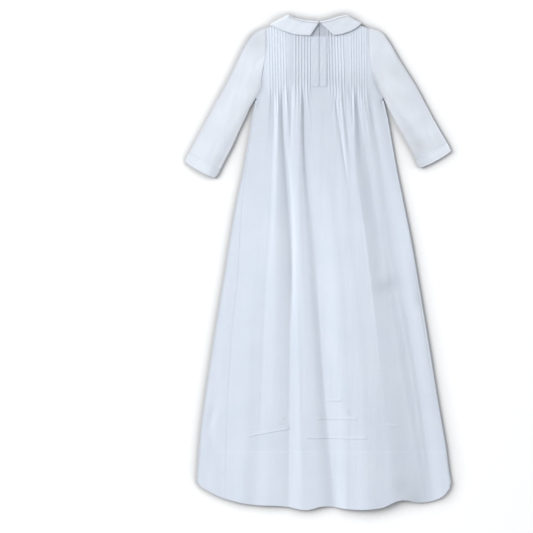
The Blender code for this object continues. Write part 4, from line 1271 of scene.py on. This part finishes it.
def lawn_material(name, colour, roughness, turn):
    """Fine plain weave: two sets of threads at right angles, uneven, with a faint sheen."""
    material, tree, shader = new_material(name)
    spots = add_node(tree, "TexCoord", {}, "Object")
    grain = add_node(tree, "Mapping", {"Vector": spots, "Rotation": (0, 0, math.radians(turn))})

    def threads(direction, stretch):
        """Height of one set of threads, and its slubs."""
        bands = {"Vector": grain, "Scale": math.pi / (10 * THREAD_PITCH), "Distortion": 0.6,
                 "Detail Scale": 0.4}
        wave = add_node(tree, "TexWave", bands, "Fac", wave_type="BANDS",
                        bands_direction=direction)
        squeezed = add_node(tree, "Mapping", {"Vector": grain, "Scale": stretch})
        slub = add_node(tree, "TexNoise", {"Vector": squeezed, "Scale": 1100, "Detail": 2}, "Fac")
        return add_math(tree, "ADD", wave, slub), slub

    warp, warp_slub = threads("X", (1, 0.02, 1))
    weft, weft_slub = threads("Y", (0.02, 1, 1))
    weave = add_math(tree, "MAXIMUM", warp, weft)
    slubs = add_math(tree, "MULTIPLY", add_math(tree, "ADD", warp_slub, weft_slub), 0.5)
    yarn = add_ramp(tree, slubs, ((0.30, [c * 0.98 for c in colour]),
                                  (0.70, [min(1, c * 1.015) for c in colour])))
    clouds = add_node(tree, "TexNoise", {"Vector": spots, "Scale": 14, "Detail": 3}, "Fac")
    clouds = add_ramp(tree, clouds, ((0.32, (0.965, 0.965, 0.985)), (0.68, (1, 1, 1))))
    tint = add_node(tree, "Mix", {0: 1.0, 6: yarn, 7: clouds}, 2, data_type="RGBA",
                    blend_type="MULTIPLY")
    # Whiteness of the layers with painted light and shade, stored on each piece's points.
    whiteness_and_painted_shade = add_node(tree, "Attribute", {}, "Fac", attribute_name="whiteness_and_painted_shade")
    toned = add_node(tree, "VectorMath", {0: tint, "Scale": whiteness_and_painted_shade}, operation="SCALE")
    fill(tree, shader, {"Base Color": toned, "Normal": add_bump(tree, weave, 0.35, 0.06 * MM),
                        "Roughness": roughness, "Sheen Weight": 0.22, "Sheen Roughness": 0.45,
                        "Specular IOR Level": 0.3})
    return material


def thread_material():
    """White cotton thread with a soft sheen and a fine twist."""
    material, tree, shader = new_material("white_thread")
    spots = add_node(tree, "TexCoord", {}, "Object")
    twist = add_node(tree, "TexNoise", {"Vector": spots, "Scale": 3000}, "Fac")
    colour = add_ramp(tree, twist, ((0, (0.66, 0.71, 0.78)), (1, (0.78, 0.82, 0.87))))
    fill(tree, shader, {"Base Color": colour, "Normal": add_bump(tree, twist, 0.3, 0.04 * MM),
                        "Roughness": 0.55, "Sheen Weight": 0.3})
    return material


# Whiteness of the cloth at each place, with painted light and shade.  More layers below make it
# whiter; painted shade lies where edges turn down to the floor, beside seams and in deep hollows,
# and painted light and shade lie where the drape would light or shade the cloth.
def mark_whiteness_and_painted_shade(piece, tone_at):
    """Stores how white the cloth looks at each place, with painted light and shade.  More layers
    below make it whiter; edges that turn down to the floor and seams get painted shade."""
    spots = np.empty(len(piece.data.vertices) * 3)
    piece.data.vertices.foreach_get("co", spots)
    side, up, rise = spots.reshape(-1, 3).T
    values = np.broadcast_to(tone_at(side, GOWN_LENGTH / 2 - up, rise), side.shape)
    whiteness_and_painted_shade = piece.data.attributes.new("whiteness_and_painted_shade", "FLOAT", "POINT")
    whiteness_and_painted_shade.data.foreach_set("value", np.ascontiguousarray(values.astype(np.float32)))


# Painted light and shade on the sleeves, and painted shade in the deepest hollows of the skirt.
SLEEVE_PAINTED_LIGHT_AND_SHADE = (
    # side, down, across, along, change
    (-107, 45, 16, 16, -0.09),
    (-108, 93, 24, 24, 0.09),
    (-125, 137, 18, 18, 0.05),
    (-172, 170, 18, 18, 0.04),
    (-203, 228, 18, 18, 0.05),
    (-152, 222, 14, 14, -0.05),
    (-167, 252, 14, 14, -0.08),
    (120, 60, 15, 15, 0.07),
    (133, 100, 13, 13, -0.06),
    (134, 137, 12, 12, -0.05),
    (146, 128, 12, 12, 0.05),
    (166, 170, 15, 15, 0.08),
    (188, 200, 15, 15, 0.09),
    (155, 198, 13, 13, -0.05),
    (172, 223, 14, 14, -0.10),
    (170, 246, 9, 9, -0.10),
)
SKIRT_PAINTED_SHADE = (
    (164, 838, 17, 38, -0.15),
    (121, 466, 20, 26, -0.06),
)


def painted_patches(rows, side, down):
    return sum(change * bell(side / MM - at_side, across) * bell(down / MM - at_down, along)
               for at_side, at_down, across, along, change in rows)


def edge_shade(rise):
    """Shade where cloth turns down to the floor."""
    return 0.30 * (1 - ease(rise, 1.2 * MM, 3.2 * MM))


def armhole_shade(side, down):
    """Shade beside the armhole seams: narrow at the shoulder, wide at the armpit."""
    depth = (0.05 + 0.10 * (1 - ease(down, 48 * MM, 75 * MM))
             + 0.14 * ease(down, 88 * MM, 122 * MM)) * (1 - ease(down, 146 * MM, 170 * MM))
    reach = (2.0 + 3.0 * ease(down, 80 * MM, 122 * MM)) * MM
    level = np.clip(down, ARM_TOP, ARMPIT)
    return sum(depth * bell(side - armhole_edge(name, level), reach) for name in OUTWARD)


def rim_shade(sections, side, down, depths):
    """Shade along the edges of a tube or leaf, each with its own depth."""
    k = np.linspace(0, len(sections["outer_side"]) - 1, 90)
    total = np.zeros_like(side)
    for edge, depth in depths.items():
        spots = edge_at(sections, edge, k)
        nearest = np.full_like(side, 1.0)
        for start, step in zip(spots, np.diff(spots, axis=0)):
            x, y = side - start[0], down - start[1]
            share = np.clip((x * step[0] + y * step[1]) / step.dot(step), 0, 1)
            nearest = np.minimum(nearest, np.hypot(x - step[0] * share, y - step[1] * share))
        total += depth * bell(nearest, 1.5 * MM)
    return total


# Painted shade over the yoke, lighter over the tuck groups; a painted shadow in the opening between
# the collar halves; painted light along the lower right edge; painted shade over the right side,
# beside the armholes and in the skirt's deepest hollows.  The double hem is a little whiter.
def upper_whiteness_and_painted_shade(side, down, rise):
    yoke = 1 - ease(down, 110 * MM, 420 * MM)
    tucked = (1.3 * (1 - ease(side, -60 * MM, -44 * MM)) * (1 - ease(down, 100 * MM, 150 * MM))
              + 0.9 * ease(side, 20 * MM, 34 * MM) * (1 - ease(down, 84 * MM, 126 * MM)))
    opening = (1 - ease(down, 36.2 * MM, 37.4 * MM)) * (np.abs(side - 8 * MM) < 24 * MM)
    hem = ease(down, HEM_LEVEL - 0.6 * MM, HEM_LEVEL + 0.6 * MM)
    from_edge = panel_sides(down)[1] - side
    rim = (1 - ease(from_edge, 6 * MM, 28 * MM)) * ease(down, 250 * MM, 400 * MM)
    right = ease(side, 10 * MM, 130 * MM) * ease(from_edge, 12 * MM, 34 * MM)
    return (1 - 0.10 * yoke * (1 - tucked) - 0.17 * opening + 0.012 * hem + 0.03 * rim
            - 0.045 * right - armhole_shade(side, down) + painted_patches(SKIRT_PAINTED_SHADE, side, down))


# Painted shade along the body's side edges, deepest on the left, and where the cloth turns down to
# the floor.
def lower_painted_shade(side, down, rise):
    level = np.clip(down, BODY["down"][0], BODY["down"][-1])
    edges = sum(depth * bell(side - body_edge(name, level), 1.8 * MM)
                for name, depth in (("left", 0.42), ("right", 0.10)))
    return 1 - edges - edge_shade(rise)


def sleeve_painted_light_and_shade(name, seam, **depths):
    """Sleeve's painted light and shade in patches and along its edges, with a thin shade along the
    cuff's seam.
    """
    sections = SLEEVES[name]
    last = len(sections["edge"]) - 1
    start = edge_at(sections, "outer", last)
    way = edge_at(sections, "under", last) - start
    way = way / np.linalg.norm(way)

    def whiteness_and_painted_shade(side, down, rise):
        off = (side - start[0]) * way[1] - (down - start[1]) * way[0]
        shades = seam * bell(off, 1.6 * MM) + 0.5 * edge_shade(rise) + armhole_shade(side, down)
        return (1 + painted_patches(SLEEVE_PAINTED_LIGHT_AND_SHADE, side, down) - shades
                - rim_shade(sections, side, down, depths))
    return whiteness_and_painted_shade


def cuff_painted_light_and_shade(name, base, underarm_shade, **depths):
    """Cuff's painted light and shade: an even painted brightness, darker towards the underarm edge
    and along its edges.
    """
    sections = CUFFS[name]
    centre = (sections["outer_side"].mean() + sections["under_side"].mean()) / 2

    def whiteness_and_painted_shade(side, down, rise):
        inward = ease(np.abs(centre) - np.abs(side), 2 * MM, 24 * MM)
        return (base - underarm_shade * inward - 0.5 * edge_shade(rise)
                - rim_shade(sections, side, down, depths))
    return whiteness_and_painted_shade


# Painted shade on a collar leaf: an even darkening given by base, and painted shade along its outer
# and neck edges.
def collar_painted_shade(name, base, **depths):
    return lambda side, down, rise: base - rim_shade(COLLARS[name][0], side, down, depths)


def even_tone(base):
    return lambda side, down, rise: base


# The gown
skirt_cloth = lawn_material("lawn_skirt", LAWN_COLOUR, 0.85, 0)
sleeve_cloth = {name: lawn_material(f"lawn_sleeve_{name}", SLEEVE_COLOUR, 0.85, 57 * way)
                for name, way in OUTWARD.items()}
double_cloth = {name: lawn_material(f"lawn_double_{name}", DOUBLE_COLOUR, 0.8, 62 * way)
                for name, way in OUTWARD.items()}
placket_cloth = lawn_material("lawn_placket", PLACKET_COLOUR, 0.8, 0)
thread = thread_material()

upper = upper_panel(skirt_cloth)
lower = lower_panel(skirt_cloth)
sleeves = [sleeve(name, sleeve_cloth[name]) for name in SLEEVES]
cuffs = [cuff(name, double_cloth[name]) for name in CUFFS]
collars = [collar(name, double_cloth[name]) for name in COLLARS]
upper_surface = Surface([upper])
plackets = [placket(name, upper_surface, placket_cloth) for name in PLACKET_SIDES]
tucks = [hem_tuck(*row, upper_surface, skirt_cloth) for row in HEM_TUCKS]
whole_surface = Surface([upper, lower] + sleeves + cuffs + collars + plackets)
stitches = sewing(whole_surface, upper_surface, thread)
sprigs = embroidery(upper_surface, thread)

# Whiteness and painted light and shade of each piece; plackets and hem tucks are even.
tones = [upper_whiteness_and_painted_shade, lower_painted_shade,
         sleeve_painted_light_and_shade("left", 0.05, outer=0.36, under=0.05),
         sleeve_painted_light_and_shade("right", 0.16, under=0.30),
         cuff_painted_light_and_shade("left", 0.98, 0.10, outer=0.30),
         cuff_painted_light_and_shade("right", 1.03, 0.14, under=0.25),
         collar_painted_shade("left", 1.0, outer=0.14, neck=0.26),
         collar_painted_shade("right", 0.95, outer=0.14, neck=0.26)]
tones += [even_tone(0.97)] * len(plackets) + [even_tone(0.98)] * len(tucks)
for piece, whiteness_and_painted_shade in zip([upper, lower] + sleeves + cuffs + collars + plackets + tucks, tones):
    mark_whiteness_and_painted_shade(piece, whiteness_and_painted_shade)


# Floor, light and camera
FLOOR_HALF = 14.0
FLOOR_DROP = 0.1 * MM
FLOOR_TONE = 0.97
CONTACT_REACH = 30 * MM        # the floor's soft shade near the gown
CONTACT_LEAN = 0.45
# Painted shadow on the floor round the gown, from two ambient occlusions leaning along the lamp's
# direction.
PAINTED_CONTACT_SHADOW = (
    # which way along the lamp's direction, power, darkest
    (-1, 1.7, 0.67),           # on the lamp's side of the gown
    (1, 1.9, 0.88),            # beyond it
)
SURROUND = ((0.0, 1.0), (0.12, 1.0), (0.35, 0.75), (0.6, 0.35), (1.0, 0.22))  # height, brightness
SURROUND_STRENGTH = 1.52
KEY_PLACE = (-3.82, 1.78, 2.29)
KEY_SIZE = 3.5
KEY_POWER = 278
CAMERA_PLACE = (-88.6 * MM, -6.9 * MM, 2.165)
CAMERA_LENS = 85


def floor():
    """White paper with a painted shadow round the gown, worked out from ambient occlusion."""
    mesh = bpy.data.meshes.new("floor")
    corners = [(x * FLOOR_HALF, y * FLOOR_HALF, 0) for x, y in ((-1, -1), (1, -1), (1, 1), (-1, 1))]
    mesh.from_pydata(corners, [], [(0, 1, 2, 3)])
    ground = bpy.data.objects.new("floor", mesh)
    bpy.context.collection.objects.link(ground)
    ground.location.z = -FLOOR_DROP
    material, tree, shader = new_material("paper_white_painted_shadow")
    lamp_way = np.array(KEY_PLACE[:2]) / math.hypot(*KEY_PLACE[:2]) * CONTACT_LEAN
    shade = FLOOR_TONE
    for turn, power, darkest in PAINTED_CONTACT_SHADOW:
        lean = (*(lamp_way * turn), math.sqrt(1 - CONTACT_LEAN ** 2))
        way = add_node(tree, "CombineXYZ", dict(enumerate(lean)))
        near = add_node(tree, "AmbientOcclusion", {"Distance": CONTACT_REACH, "Normal": way}, "AO")
        side = add_math(tree, "MAXIMUM", add_math(tree, "POWER", near, power), darkest)
        shade = add_math(tree, "MULTIPLY", side, shade)
    fill(tree, shader, {"Base Color": shade, "Roughness": 0.9, "Specular IOR Level": 0.1})
    mesh.materials.append(material)


def studio():
    """Low key light from the upper left, and a white surround that is brightest low down."""
    world = bpy.data.worlds.new("studio")
    world.use_nodes = True
    tree = world.node_tree
    way = add_node(tree, "TexCoord", {}, "Generated")
    height = add_node(tree, "SeparateXYZ", {"Vector": way}, "Z")
    white = add_ramp(tree, height, [(band, (level * 0.97, level * 0.985, level))
                                    for band, level in SURROUND])
    fill(tree, tree.nodes["Background"], {"Color": white, "Strength": SURROUND_STRENGTH})
    bpy.context.scene.world = world
    key = bpy.data.lights.new("key", "AREA")
    key.shape = "DISK"
    key.size = KEY_SIZE
    key.energy = KEY_POWER
    lamp = bpy.data.objects.new("key", key)
    bpy.context.collection.objects.link(lamp)
    lamp.location = KEY_PLACE
    lamp.rotation_euler = (-Vector(KEY_PLACE)).to_track_quat("-Z", "Y").to_euler()
    bpy.context.scene.view_settings.view_transform = "Standard"


def camera():
    """Straight above, with the whole frame 0.917 m wide."""
    view = bpy.data.cameras.new("camera")
    view.lens = CAMERA_LENS
    view.sensor_width = 36
    eye = bpy.data.objects.new("camera", view)
    bpy.context.collection.objects.link(eye)
    eye.location = CAMERA_PLACE
    bpy.context.scene.camera = eye


floor()
studio()
camera()
